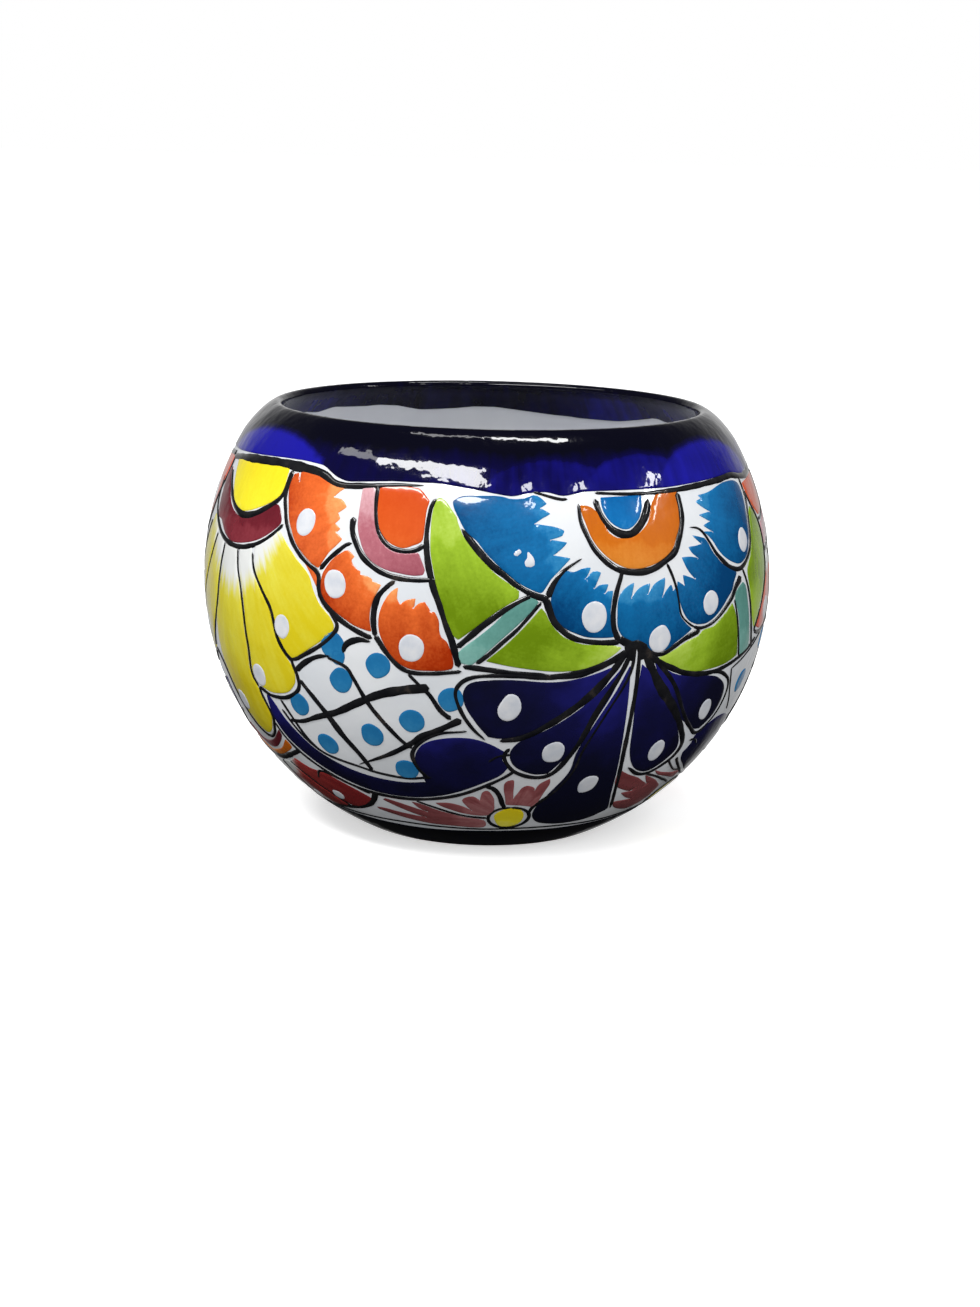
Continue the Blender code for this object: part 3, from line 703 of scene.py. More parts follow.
def fan(hand):
    """Five dark petals that spread down from one point."""
    lobes = (
        ([(26, 97.8, 1), (19.5, 94.3), (13, 92.8), (5, 93.8), (-1.5, 93), (-3.6, 89.5), (-3.2, 84),
          (-1, 77.5), (1.2, 72.6, 1), (4, 72), (8, 73.6), (12, 77.4), (17, 83.5),
          (22, 90.5)], (5, 84, 3.6, 4.8)),
        ([(26.6, 96.6, 1), (22.5, 88.5), (17.5, 80.8), (12.5, 75), (8, 71.3), (5.8, 66), (7, 60),
          (11, 56.2), (14.5, 56, 1), (18.8, 66), (21.8, 76), (25.2, 88)], (14.7, 66, 3.5, 4.4)),
        ([(28.2, 97, 1), (25.8, 88), (22.6, 77), (20, 65.5), (19.4, 56), (16.4, 46), (14.2, 38), (14, 32),
          (16, 27), (20, 24.5), (26, 23.6), (33, 25), (38, 30, 1), (34, 42), (31.2, 58), (29.5, 74)],
         (25.3, 49, 3.4, 4.4)),
        ([(30.8, 97, 1), (30.6, 86), (31.4, 75), (33, 63), (35.8, 55.5), (39.5, 51.6), (43, 51.4),
          (47, 56), (48, 61), (44, 71), (38, 82.5), (34, 92)], (41, 61, 3.3, 4.5)),
        ([(33.6, 97.6, 1), (40, 91.3), (50, 88.2), (54, 86), (57.3, 82), (58.2, 76.5), (57, 70.5),
          (53.6, 66.2, 1), (50, 67.8), (43, 75.5), (37, 86)], (52.3, 74.5, 3.2, 4.6)),
    )
    for knots, (az, t, wide, tall) in lobes:
        # painted shade: each lobe darkens away from the fan's top point, towards the bottom
        hand.fill("petals", "navy", knots, hand.around((29, 108), (14, 14), 4.6))
        hand.dot(az, t, wide, tall, (az - 27) * 0.8)
    hand.line([(27.2, 102), (22, 97.8), (13, 94.7), (5, 95.3), (-2, 94.5), (-5, 90), (-4.3, 83), (-2, 76),
        (0.6, 71.3)], (2.0, 1.4, 1.1), (1, 4))
    hand.line([(28, 103.6), (24.3, 95), (19.5, 86), (13, 77.4), (8, 72.3), (3.5, 71)],
        (1.6, 3.0, 2.6, 1.4))
    hand.line([(28.6, 104), (26.8, 96), (22.6, 82), (19.6, 68), (16, 56.7), (12, 54.3), (7, 57.5),
        (4.6, 64), (5.6, 68)], (1.4, 2.6, 1.6, 1.2))
    hand.line([(28.9, 104), (28.3, 94), (24.2, 79), (21.2, 66), (20.3, 56.5), (17.4, 46.5), (13.4, 38),
        (12.8, 32)], (1.2, 0.9, 1.3), (1, 6))
    hand.line([(29.9, 104), (30.2, 88), (30.6, 74), (31.8, 60), (34.6, 44), (38.6, 30.5)],
        (1.3, 1.6, 1.1), (1, 4))
    hand.line([(30.3, 104), (32.8, 96), (36, 88), (41.4, 78), (46.5, 68), (49.4, 61), (48.6, 55),
        (43.4, 50), (39, 50.4), (34.6, 55)], (1.8, 4.2, 2.4, 1.6, 1.2), (1, 3))
    hand.line([(31, 103), (35, 96), (39.5, 88), (44.5, 76), (49, 68.8), (53.5, 64.4), (58, 69.5),
        (59.6, 76.8), (58.6, 83.5), (55, 87.6), (51, 89.4)], (1.6, 1.8, 1.0, 1.2))
    hand.fill("heart", "line", [(26.6, 103.6, 1), (29, 105.6), (31.8, 103.4, 1), (31.4, 99.5),
        (30.4, 98.5, 1), (29.3, 102.4, 1), (28.4, 98.5, 1), (27.2, 100)], lift=LINE)


def lattice(hand, mirrored=False):
    """Crossed brush lines with a spot in each gap, over a dark swag. The mirrored one stands
    the other way round on the fan's right, where the fan hides a part of it."""

    def put(knots):
        return [(2 * FAN_MIDDLE - k[0], *k[1:]) for k in knots] if mirrored else knots

    def line(knots, *brush):
        hand.line(put(knots), *brush)

    long_line = [(-44, 69.2), (-40, 70.2), (-35, 73.7), (-30, 77), (-25, 81.7), (-20, 86)]
    cross_line = [(-14.5, 68), (-20, 62), (-28, 55.5)]
    if not mirrored:
        long_line += [(-15, 88.6), (-10, 90)]
        cross_line = [(-4, 79), (-8, 75), (-12, 71.6), *cross_line]
    line(long_line, (1.2, 2.4, 2.9), (1, 1))
    line([(-38.5, 90), (-36, 93.5), (-33, 96.3), (-29.8, 97.6)], (2.0, 1.2), (1, 4))
    if not mirrored:
        line([(-26.9, 99.3), (-26.5, 101.6), (-25.2, 103.4), (-23.2, 104.5), (-21.2, 104.2)],
            (1.3, 2.3, 1.0), (1, 1))
        line([(-14, 94.5), (-12, 91), (-10, 87.5), (-8, 82), (-6, 79)], (1.0, 1.7))
        line([(-3, 74.6), (-8, 73.3), (-11, 70.8), (-13.5, 67), (-14.6, 62.5), (-13.6, 57),
            (-11.5, 52.6)], (0.8, 1.6))
    line([(-30.5, 97), (-26.6, 94.5), (-25, 90.5), (-22, 81), (-17, 70), (-14.3, 66)], (1.0, 1.6, 1.2))
    line([(-38, 87), (-33, 76.5), (-30, 68), (-27, 60.5), (-25, 53.5)], (1.4, 2.4, 1.6))
    line([(-45, 77), (-43, 71), (-40.5, 63), (-38, 58.3)], 1.0)
    line(cross_line, (2.2, 1.8, 0.8), (1, 9))
    line([(-45.5, 73), (-43, 66.4), (-40, 61), (-36, 57), (-28, 54.2), (-24, 52.7), (-17, 51.7),
        (-11, 53.4)], (1.0, 1.0))
    spots = ((-27.9, 89.3), (-19.7, 96.5), (-39.5, 77), (-22.8, 69.7), (-34.8, 62.3), (-16.4, 55.9))
    if mirrored:
        line([(-15, 100.5), (-10, 97), (-4.5, 93.7), (-0.5, 91.7)], 0.6)
        line([(-0.3, 92), (-1.7, 86.8), (-3.2, 82.4), (-5.3, 77.6), (-6.8, 73.6)], 0.6)
        spots = ((-8.6, 84.1), *spots)
    else:
        spots = (*spots[:2], (-6, 86.2), *spots[2:4], (-13.8, 77.2), *spots[4:], (-29.4, 101.3))
    for az, t in put(spots):
        hand.dot(az, t, 4.2, 4.5, -25, "spot", f"{hand.motif}_spots", PAINT, SUNK)
    if not mirrored:
        hand.dot(-28.1, 97.6, 2.9, 2.8, 0, "spot", f"{hand.motif}_spots", PAINT, SUNK)
    swag = [(-49.6, 77), (-48, 75.5), (-46, 69.8), (-43.5, 64.8), (-40, 59.2), (-36, 55.3), (-31, 52),
        (-25, 49.9), (-18, 49.3), (-12.6, 50.6, 1), (-13.4, 57), (-14, 62), (-12.6, 67), (-10, 70),
        (-6, 71.6), (-2, 71.6), (1.5, 69.6), (4.6, 66.4, 1), (4.2, 63), (5.6, 59.3, 1), (4, 55.5),
        (0, 51.3), (-5, 46.8), (-10, 43.6), (-16, 41.6), (-22, 41.2), (-28, 42.2), (-34, 45.2), (-40, 50),
        (-45, 56), (-48, 61), (-49.8, 68)]
    # painted shade: the swag darkens from its top down
    hand.fill("swag", "navy", put(swag), hand.along(*put([(-20, 90), (-20, 30)])))
    line([(-50.6, 66), (-48.8, 60), (-45.8, 54.6), (-41, 49), (-35, 44), (-29, 41), (-22, 39.9),
        (-15.5, 40.4), (-9, 42.6), (-4, 45.6), (1, 50.2), (5, 54.6), (7, 57.5)], (1.0, 1.6, 1.2))
    line([(1.4, 62), (3.4, 64.5), (6, 65.2)], 0.9)


# ------------------------------------------------------------------ the low flowers


def eye(hand, az):
    """A daisy's yellow middle and the black ring round it; returns how its strokes flow."""
    hand.dot(az, 30.3, 5.0, 6.9, 0, "yellow", "daisy_eyes", PAINT, SUNK)
    ring = [(az + 5.6 * sin(a), 30.3 + 7.5 * cos(a)) for a in np.radians(np.arange(0, 361, 30))]
    hand.line(ring, (1.2, 1.3, 1.0), (0.1, 0.1))
    return hand.around((az, 30.3), (8, 8), 4.5)


def daisy(hand):
    """A small flower just above the foot: an eye and loose strokes, long ones on its left."""
    flow = eye(hand, 7.7)
    for knots in (
        [(6.2, 39.6, 1), (5.9, 43.5), (5.3, 48.2), (5.3, 51.4), (6, 52.9), (7.1, 53.4), (7.4, 50.5),
         (7.5, 46.6), (7.8, 43.2, 1), (8.6, 46), (9.4, 49), (10.2, 50.2), (12, 49.3), (12.6, 47.6, 1),
         (13.3, 50.8), (15.4, 53.4, 1), (15.6, 50.6), (14.9, 46.4), (14.2, 41.6), (13.3, 37.8, 1),
         (10, 39)],
        [(2.6, 33, 1), (3.4, 36.5), (3.3, 40), (3, 43.6), (1.6, 47.5), (0.4, 46.6), (-0.2, 42, 1),
         (-1.9, 44.2), (-3.6, 43.4), (-4.5, 41.6), (-3.6, 38.6), (-2.2, 35.4, 1), (-4.9, 38.2),
         (-8, 39.6), (-11.4, 39.1, 1), (-9.6, 37), (-5.4, 33.9), (-1.4, 32.4), (1.4, 32.3)],
        [(-17.7, 38.4, 1), (-15.1, 37.3), (-11.9, 34.8), (-8.7, 32.8), (-4.4, 30.5), (0, 29.2),
         (1.2, 28), (1.6, 25.4), (1, 23.2), (-2.2, 22.6), (-7.6, 23.2), (-15.1, 23.8), (-22.7, 26.3),
         (-29.4, 29.7), (-29.9, 30.8, 1), (-27, 31.1), (-22, 29.6), (-15.2, 28.3, 1), (-18.4, 30.4),
         (-22.5, 33.8), (-26, 37.2, 1), (-25.2, 38.2), (-21, 36.4), (-14.2, 32.4, 1), (-16.4, 35)],
    ):
        hand.fill("strokes", "rose", knots, flow)
    hand.line([(-16.2, 39.2), (-11.9, 36.2), (-7.1, 33), (-3.3, 31.3), (1.8, 30.4)], (0.8, 1.2))
    hand.line([(1, 49.6), (2.4, 49.2), (3.7, 47), (4.7, 43.5), (5.3, 40.1), (6.1, 37.5)], (1.6, 1.8, 1.4))


def side_daisy(hand):
    """The next small flower, whose strokes lean against the fan and the next half's swag."""
    flow = eye(hand, 64)
    for knots in (
        [(32.5, 54.3, 1), (36, 51), (40, 48), (43, 45), (45.8, 42.5, 1), (44, 45.4), (42.4, 48.4, 1),
         (45, 46.4), (48, 44), (51, 41.2), (54, 38), (55, 34), (54.6, 30), (53, 26.5), (49, 25.5),
         (44, 27.5), (40, 30.6), (37.5, 34.7, 1), (40, 34.6), (44.6, 34, 1), (41, 36.6),
         (37.8, 40.2, 1), (39.4, 40.2), (41.2, 40, 1), (37.5, 42.4), (34, 45.7), (32.8, 49.7)],
        [(45, 50, 1), (48.3, 47.8), (52, 46), (55, 44.8), (60, 43.4), (59.6, 40.4), (57, 41.4),
         (52, 44.2), (47.5, 46.9)],
        [(67.5, 33.6, 1), (74, 34.8), (80, 34.4, 1), (78, 33.2, 1), (84, 32), (76, 30.6), (68, 30, 1)],
        [(68, 27, 1), (76, 28), (84, 29.4, 1), (80, 25.6), (74, 23.6), (67, 23.4, 1)],
    ):
        hand.fill("strokes", "rose", knots, flow)
    hand.line([(42.2, 49.2), (45.7, 47.1), (48.8, 45), (52.4, 42.4), (55.4, 40.4), (58.4, 38.2)],
        (0.8, 1.2))
    hand.line([(48, 53.8), (51.4, 49.6), (55, 46.3), (60, 44.6)], 0.8)


def low_flower(hand):
    """Half a flower near the foot, under the long petals."""
    hand.fill("arc", "maroon", [(-71, 57, 1), (-65, 53), (-60, 53.6), (-55, 57), (-50.4, 62.5, 1),
        (-50.2, 60.2, 1), (-53, 56), (-58, 51.5), (-65, 50), (-72, 53.5, 1)])
    hand.fill("band", "amber", [(-72, 51.5, 1), (-65, 48.3), (-60, 49.3), (-54, 53), (-49.6, 58.6, 1),
        (-48.6, 55.6), (-52.5, 51.6), (-58, 48), (-65, 46.6), (-73, 49.5, 1)])
    hand.line([(-74, 48), (-66, 45), (-60, 46), (-55, 48.4), (-50, 51.8), (-46, 55)], (1.6, 2.4, 1.6))
    flow = hand.around((-62, 60), (12, 17), 2.6)
    for knots in (
        [(-50.5, 49.3, 1), (-46, 46.6), (-41, 46), (-36, 42.8), (-31.5, 38.8), (-29.4, 35.6), (-31, 31.6),
         (-35, 28.6), (-40.2, 27.2, 1), (-44, 32), (-49, 39), (-54.4, 46.6, 1)],
        [(-55.6, 46, 1), (-50, 38), (-45, 31), (-42, 26.4, 1), (-48, 23.4), (-56, 22.9), (-60.5, 25.4, 1),
         (-59.4, 33), (-60, 44, 1)],
        [(-61, 43.6, 1), (-60.5, 34), (-61.8, 25.4, 1), (-68, 22.9), (-76, 24), (-80, 27.5), (-78, 33),
         (-72, 40, 1), (-67, 43.4, 1)],
    ):
        hand.fill("petals", "red", knots, flow)
    hand.line([(-27, 41), (-29, 36), (-32, 31.5), (-37, 27.6), (-45, 24.2), (-54, 21.8)], (2.2, 1.2))
    hand.line([(-45, 42), (-42, 46.8), (-36, 44.6), (-29, 39.6)], (1.0, 1.0))
    hand.line([(-60.4, 44), (-59.9, 34), (-61.2, 25)], 0.9)
    hand.line([(-54.6, 46), (-49.4, 38.4), (-44.4, 31.6), (-41.2, 26.6)], (0.7, 1.0))
    hand.dot(-42, 33.5, 2.4, 3.0, -30)
    hand.dot(-56, 27.5, 2.2, 2.4)
    hand.dot(-70, 28.5, 2.4, 2.6)


def foot_line(hand):
    """The thin black line just above the foot band."""
    hand.line([(-72 + i * 12, 21.6 + 0.35 * sin(i * 1.9)) for i in range(16)], 0.9)


def rim_line(hand):
    """Black strokes along the lower edge of the rim's cobalt."""
    hand.line([(-76, 154.8), (-68, 156.2), (-62, 156.9), (-50, 158), (-43, 157.8), (-37, 156.8),
        (-32, 153.9), (-26, 154.3), (-19, 155.5), (-13, 156)], (1.8, 3.0, 3.0, 2.0, 0.8), (2, 4))
    hand.line([(9, 155), (14, 152.6), (16, 152.4)], 0.9)
    hand.line([(22, 154.2), (31, 153.2), (40, 153.2), (50, 153.8), (58, 154.3), (64, 154.7), (70, 153.2),
        (75, 152.6), (84, 153.6), (96, 155), (104, 155.6)], (0.8, 1.8, 2.2, 1.6))


def paint_half(side, seed, flowers):
    """The half turn of painting that goes round the pot twice."""
    unsteady = 0.0 if side == "front" else 0.45
    cup, star, sun, coral = flowers
    motifs = (
        ("cup_flower", cup_flower, cup), ("star_flower", star_flower, star),
        ("sun_flower", sun_flower, sun), ("coral_flower", coral_flower, coral),
        ("leaf", leaves, ()), ("fan", fan, ()),
        ("lattice", lattice, ()), ("lattice2", lattice, (True,)), ("daisy", daisy, ()),
        ("daisy2", side_daisy, ()), ("low_flower", low_flower, ()), ("foot", foot_line, ()),
        ("rim", rim_line, ()),
    )
    for number, (name, draw, more) in enumerate(motifs, 1):
        raise_by = -3.5 if name == "lattice2" else 0.0
        draw(Hand(name, side, seed + number, raise_by, unsteady), *more)


# ------------------------------------------------------------------ materials


def ink(r, g, b):
    """A display colour, 0 to 255, as a linear one."""
    shares = (v / 255 for v in (r, g, b))
    return (*(v / 12.92 if v <= 0.04045 else ((v + 0.055) / 1.055) ** 2.4 for v in shares), 1.0)


class Nodes:
    """Short names for making and joining the shader nodes of a material or the world."""

    def __init__(self, owner):
        owner.use_nodes = True
        self.owner, self.tree = owner, owner.node_tree

    def node(self, kind, **inputs):
        made = self.tree.nodes.new(f"ShaderNode{kind}")
        for key, value in inputs.items():
            self.feed(made.inputs[key.replace("_", " ")], value)
        return made

    def feed(self, socket, value):
        if isinstance(value, bpy.types.NodeSocket):
            self.tree.links.new(value, socket)
        else:
            socket.default_value = value

    def math(self, what, a, b=0.0, c=0.0, clamp=False):
        made = self.node("Math")
        made.operation, made.use_clamp = what, clamp
        for socket, value in zip(made.inputs, (a, b, c)):
            self.feed(socket, value)
        return made.outputs[0]

    def swing(self, noise, amount, level):
        """The level, moved up and down by a noise about its middle."""
        return self.math("MULTIPLY_ADD", self.math("SUBTRACT", noise, 0.5), amount, level)

    def fade(self, value, start, end):
        """0 at the start and 1 at the end, with soft ends."""
        made = self.node("MapRange", Value=value, From_Min=start, From_Max=end)
        made.interpolation_type = "SMOOTHSTEP"
        return made.outputs[0]

    def named(self, attribute, output):
        made = self.node("Attribute")
        made.attribute_name = attribute
        return made.outputs[output]

    def place(self, output="Object"):
        return self.node("TexCoord").outputs[output]

    def noise(self, vector, scale, detail=2.0, rough=0.5):
        made = self.node("TexNoise", Vector=vector, Scale=scale, Detail=detail, Roughness=rough)
        return made.outputs[0]

    def brushed(self, scale, detail=2.0, rough=0.5):
        """A noise drawn out along the brush strokes."""
        strokes = self.node("Mapping", Vector=self.named("brush", "Vector"), Scale=(*scale, 1))
        return self.noise(strokes.outputs[0], 1.0, detail, rough)

    def ramp(self, value, *stops):
        made = self.node("ValToRGB", Fac=value)
        band = made.color_ramp
        while len(band.elements) < len(stops):
            band.elements.new(0.5)
        for element, (at, colour) in zip(band.elements, stops):
            element.position, element.color = at, colour
        return made.outputs[0]

    def mix(self, share, a, b, kind="RGBA"):
        """Between two colours, or between two numbers where the kind is VALUE."""
        made = self.node("Mix", Factor=share)
        made.data_type = "RGBA" if kind == "RGBA" else "FLOAT"
        for socket, value in zip((s for s in made.inputs if s.type == kind and s.name in "AB"), (a, b)):
            self.feed(socket, value)
        return next(s for s in made.outputs if s.type == kind)

    def bump(self, height, strength, distance, **under):
        return self.node("Bump", Height=height, Strength=strength, Distance=distance, **under).outputs[0]

    def finish(self, colour, rough, normal=None, coat=0.0, coat_rough=0.03, specular=0.25):
        shader = self.tree.nodes["Principled BSDF"].inputs
        values = {"Base Color": colour, "Roughness": rough, "Specular IOR Level": specular,
                  "Coat Weight": coat, "Coat Roughness": coat_rough, "Coat IOR": 1.5}
        if normal is not None:
            values["Normal"] = values["Coat Normal"] = normal
        for key, value in values.items():
            self.feed(shader[key], value)
        return self.owner

    def glaze(self, colour, rough, coat_rough=0.03, peel=0.12, puddle=0.35, coat=1.0, specular=0.25):
        """A glassy surface: slow puddles with a faint orange peel on top."""
        slow = self.bump(self.noise(self.place(), 75, 2, 0.45), puddle, 0.0011)
        normal = self.bump(self.noise(self.place(), 420, 1, 0.4), peel, 0.0004, Normal=slow)
        return self.finish(colour, rough, normal, coat, coat_rough, specular)


def material(name):
    return Nodes(bpy.data.materials.new(name))


def enamel(name, light, mid, deep, wash=0.26, streak=0.2, bare=None, start=0.22, second=0.34):
    """Brushed enamel, light where a stroke starts and deep where it ends, with a second coat over
    its far part. bare is how far the white glaze shows through at the stroke's start."""
    n = material(name)
    depth = n.named("depth", "Fac")
    coat = n.fade(n.swing(n.brushed((0.16, 0.05)), 0.5, depth), second - 0.05, second + 0.05)
    level = n.math("MULTIPLY_ADD", coat, 0.2, n.math("MULTIPLY_ADD", depth, 0.42, start))
    cloud, mottle, specks = (n.noise(n.place(), *size) for size in ((38,), (190,), (950, 2, 0.6)))
    hairs = n.brushed((0.42, 0.035), 3, 0.6)
    for mark, amount in ((cloud, wash), (mottle, 0.14), (hairs, streak), (specks, 0.2)):
        level = n.swing(mark, amount * 1.6, level)
    colour = n.ramp(level, (0.02, ink(*light)), (0.5, ink(*mid)), (0.98, ink(*deep)))
    if bare is not None:
        wisps = n.brushed((0.75, 0.03))
        shown = n.fade(n.swing(wisps, 1.3, n.math("DIVIDE", depth, bare)), 1.4, 0.7)
        colour = n.mix(shown, colour, ink(226, 228, 226))
    return n.glaze(colour, 0.20, 0.04)


def speckled_glaze(name, cloudy, clear, cloud, specks, patches, rough, coat_rough):
    """White glaze, faintly cloudy, with a few specks of cobalt here and there."""
    n = material(name)
    colour = n.ramp(n.noise(n.place(), cloud, 3), (0.3, ink(*cloudy)), (0.7, ink(*clear)))
    cells, reach, shade, speck = specks
    size, least = patches
    cell = n.node("TexVoronoi", Vector=n.place(), Scale=cells)
    near = n.math("LESS_THAN", cell.outputs["Distance"], reach)
    some = n.math("GREATER_THAN", n.noise(n.place(), size, 1), least)
    colour = n.mix(n.math("MULTIPLY", near, n.math("MULTIPLY", some, shade)), colour, ink(*speck))
    return n.glaze(colour, rough, coat_rough)


def white_glaze():
    return speckled_glaze("white_glaze", (213, 217, 222), (225, 227, 229), 30,
                          (52.0, 0.018, 0.6, (70, 80, 110)), (17, 0.56), 0.16, 0.03)


def lining_glaze():
    return speckled_glaze("lining_glaze", (202, 204, 211), (218, 220, 223), 22,
                          (34.0, 0.05, 0.8, (70, 72, 120)), (23, 0.6), 0.2, 0.05)


def cobalt_glaze():
    """Cobalt that is nearly black where it lies thick and ultramarine where it ran thin. Its
    gloss ends just inside the mouth."""
    n = material("cobalt_glaze")
    level = n.swing(n.noise(n.place(), 55, 3, 0.6), 0.45, n.named("depth", "Fac"))
    level = n.swing(n.brushed((0.25, 0.05)), 0.35, level)
    colour = n.ramp(level, (0.1, ink(8, 8, 20)), (0.42, ink(10, 8, 54)), (0.9, ink(25, 23, 142)))
    along = n.node("SeparateXYZ", Vector=n.named("brush", "Vector")).outputs["Y"]
    coat = n.node("MapRange", Value=along, From_Min=179, From_Max=183, To_Min=1.0, To_Max=0.12)
    return n.glaze(colour, 0.12, 0.03, 0.16, 0.45, coat.outputs[0], 0.08)


def navy_enamel():
    n = material("navy_enamel")
    level = n.swing(n.noise(n.place(), 48, 3, 0.6), 1.1, n.named("depth", "Fac"))
    # painted shade: the navy is a lighter blue near the top of the fan and of the swag, and goes
    # near-black away from it, towards the bottom
    colour = n.ramp(level, (0.12, ink(28, 28, 104)), (0.4, ink(20, 20, 68)), (0.8, ink(17, 18, 42)))
    return n.glaze(colour, 0.14)


def line_enamel():
    """Black outline colour, thinner and browner here and there."""
    n = material("black_line")
    cloud = n.noise(n.place(), 160, 3, 0.6)
    colour = n.ramp(cloud, (0.35, ink(17, 18, 22)), (0.62, ink(30, 30, 32)), (0.8, ink(66, 58, 52)))
    return n.glaze(colour, 0.22, 0.06)


def dot_enamel():
    n = material("white_dot")
    colour = n.ramp(n.noise(n.place(), 200, 3, 0.6), (0.3, ink(198, 203, 212)), (0.7, ink(218, 219, 222)))
    return n.glaze(colour, 0.2, 0.05)


def terracotta():
    n = material("terracotta")
    cloud = n.noise(n.place(), 70, 4, 0.6)
    colour = n.ramp(cloud, (0.3, ink(160, 88, 58)), (0.55, ink(184, 106, 72)), (0.8, ink(203, 134, 98)))
    grit = n.noise(n.place(), 900, 3, 0.7)
    colour = n.mix(n.math("GREATER_THAN", grit, 0.68), colour, ink(222, 178, 146))
    rings = n.noise(n.node("Mapping", Vector=n.place(), Scale=(1, 1, 6)).outputs[0], 120)
    return n.finish(colour, 0.85, n.bump(grit, 0.5, 0.0004, Normal=n.bump(rings, 0.3, 0.0005)))


# finish: its slot in the record, its light, middle and deep colours, and how it was brushed
ENAMELS = {
    "yellow": ("yellow", (246, 240, 120), (244, 230, 44), (234, 212, 22), {}),
    "yellow_long": ("yellow", (224, 220, 116), (220, 210, 64), (212, 194, 26),
                    {"wash": 0.5, "streak": 0.7, "bare": 0.26}),
    "yellow_disc": ("yellow", (244, 238, 110), (240, 226, 44), (230, 208, 24),
                    {"wash": 0.1, "start": 0.45, "second": ONE_COAT}),
    "orange": ("orange", (242, 166, 102), (224, 104, 44), (164, 46, 4), {"start": 0.16}),
    "orange_disc": ("orange", (222, 110, 48), (208, 84, 28), (196, 68, 14),
                    {"start": 0.4, "second": ONE_COAT}),
    "red": ("orange", (196, 116, 108), (164, 58, 54), (128, 34, 36), {"streak": 0.6, "bare": 0.22}),
    "coral": ("orange", (242, 152, 120), (228, 106, 74), (206, 76, 48), {"streak": 0.4, "bare": 0.16}),
    "amber": ("amber", (216, 136, 50), (200, 106, 18), (182, 88, 8), {}),
    "maroon": ("maroon", (140, 56, 66), (108, 30, 42), (86, 18, 30), {}),
    "mauve": ("maroon", (216, 172, 178), (174, 102, 114), (134, 56, 72), {"start": 0.08}),
    "rose": ("maroon", (178, 122, 122), (146, 82, 84), (116, 56, 58), {"streak": 0.5}),
    "green": ("green", (186, 212, 92), (146, 180, 40), (104, 134, 10), {"wash": 0.7}),
    "aqua": ("aqua", (138, 186, 176), (104, 158, 148), (78, 130, 122), {}),
    "blue": ("blue", (66, 152, 200), (12, 106, 164), (0, 62, 112), {"start": 0.24}),
    "blue_disc": ("blue", (74, 156, 206), (8, 106, 172), (0, 84, 146),
                  {"wash": 0.1, "start": 0.42, "second": ONE_COAT}),
    "blue_long": ("blue", (100, 174, 218), (8, 112, 178), (0, 70, 128), {"streak": 0.6, "bare": 0.2}),
    "spot": ("blue", (60, 138, 184), (34, 114, 166), (22, 96, 148), {"start": 0.3, "second": ONE_COAT}),
}


def all_finishes():
    """Each finish's material, with the record's slot it belongs to."""
    made = {"navy": (navy_enamel(), "navy_enamel"), "line": (line_enamel(), "black_line"),
            "dot": (dot_enamel(), "white_glaze")}
    for name, (slot, light, mid, deep, brushwork) in ENAMELS.items():
        made[name] = (enamel(f"{name}_enamel", light, mid, deep, **brushwork), f"{slot}_enamel")
    return made


# ------------------------------------------------------------------ the pot itself


# places on the cobalt's lower edges, outside and inside; each comes round again after a half turn
RIM_EDGE = ((-72, 157.8), (-60, 159), (-50, 160), (-43, 160.3), (-37, 159.7), (-33, 156.3), (-30, 155.1),
            (-20, 156.7), (-10, 157), (-3, 155.5), (2, 154), (5, 153.2), (8, 154.5), (12, 154.9),
            (15, 153.2), (20, 154.8), (40, 154.4), (58, 155.3), (64, 155.6), (72, 153.6), (84, 154.8),
            (96, 157))
INNER_EDGE = ((-55, 191.9), (-53, 191), (-37, 194.4), (-24, 195.3), (-18, 194.4), (-12, 193.1),
              (-7, 192.2), (-1, 191.4), (9, 192.4), (20, 192.6), (27, 190.6), (37, 190.3), (49, 188.9),
              (55, 191.2), (68, 190), (82, 192.6), (96, 190.4), (110, 192))
BOWS, BOW_DEPTH = 6.5, 0.9
# pools where the cobalt ran thin: middle, half width, top and how thin
POOLS = ((-58, 22, 171, 0.95), (-4, 15, 166, 0.45), (13, 14, 168, 0.55), (34, 14, 169, 0.62),
         (57, 19, 171, 0.8), (88, 17, 168, 0.5))
POOL_FLOOR = 156


def brushed_edge(knots, az):
    """A hand-brushed edge that comes round twice, softened over a brush's width."""
    knots = [(a + turn, t) for turn in range(-360, 361, HALF_TURN) for a, t in knots]
    fine = np.arange(-360, 720.5, 0.5)
    brush = np.hanning(9) / np.hanning(9).sum()
    level = np.convolve(np.interp(fine, *np.array(sorted(knots)).T), brush, "same")
    return np.interp(az, fine, level)


def rim_edge(az):
    """The lower edge of the cobalt on the outside."""
    return brushed_edge(RIM_EDGE, az)


def inner_edge(az):
    """The lower edge of the cobalt inside the mouth, with the small bows of single strokes."""
    return brushed_edge(INNER_EDGE, az) + BOW_DEPTH * np.abs(np.sin(BOWS * np.radians(az) + 1))


def foot_edge(az):
    """The upper edge of the foot band."""
    a = np.radians(az)
    return 19.2 + 0.5 * np.sin(3 * a) + 0.35 * np.sin(8 * a + 1)


def even(t):
    """An edge at one height all round."""
    return lambda az: np.full(len(az), float(t))


def plain(az, t):
    return 0 * t


def thin_cobalt(az, t):
    """Where the rim's cobalt ran thin: soft domed pools along its lower edge, and the inner band."""
    level = 0.34 * np.clip((171 - t) / 7, 0, 1)
    for middle, half, top, strength in POOLS:
        off = ((az - middle + 90) % HALF_TURN - 90) / half
        dome = POOL_FLOOR + (top - POOL_FLOOR) * np.sqrt(np.clip(1 - off**2, 0, 1))
        level = np.maximum(level, strength * np.clip((dome - t) / 4 + 0.25, 0, 1) * (np.abs(off) < 1))
    patches = 0.34 + 0.14 * np.sin(3 * np.radians(az) + 1) + 0.08 * np.sin(8 * np.radians(az))
    return np.maximum(level, patches * np.clip((t - 180) / 5, 0, 1))


def low_cobalt(az, t):
    return 0.22 * np.clip((20 - t) / 12, 0, 1) + 0 * az


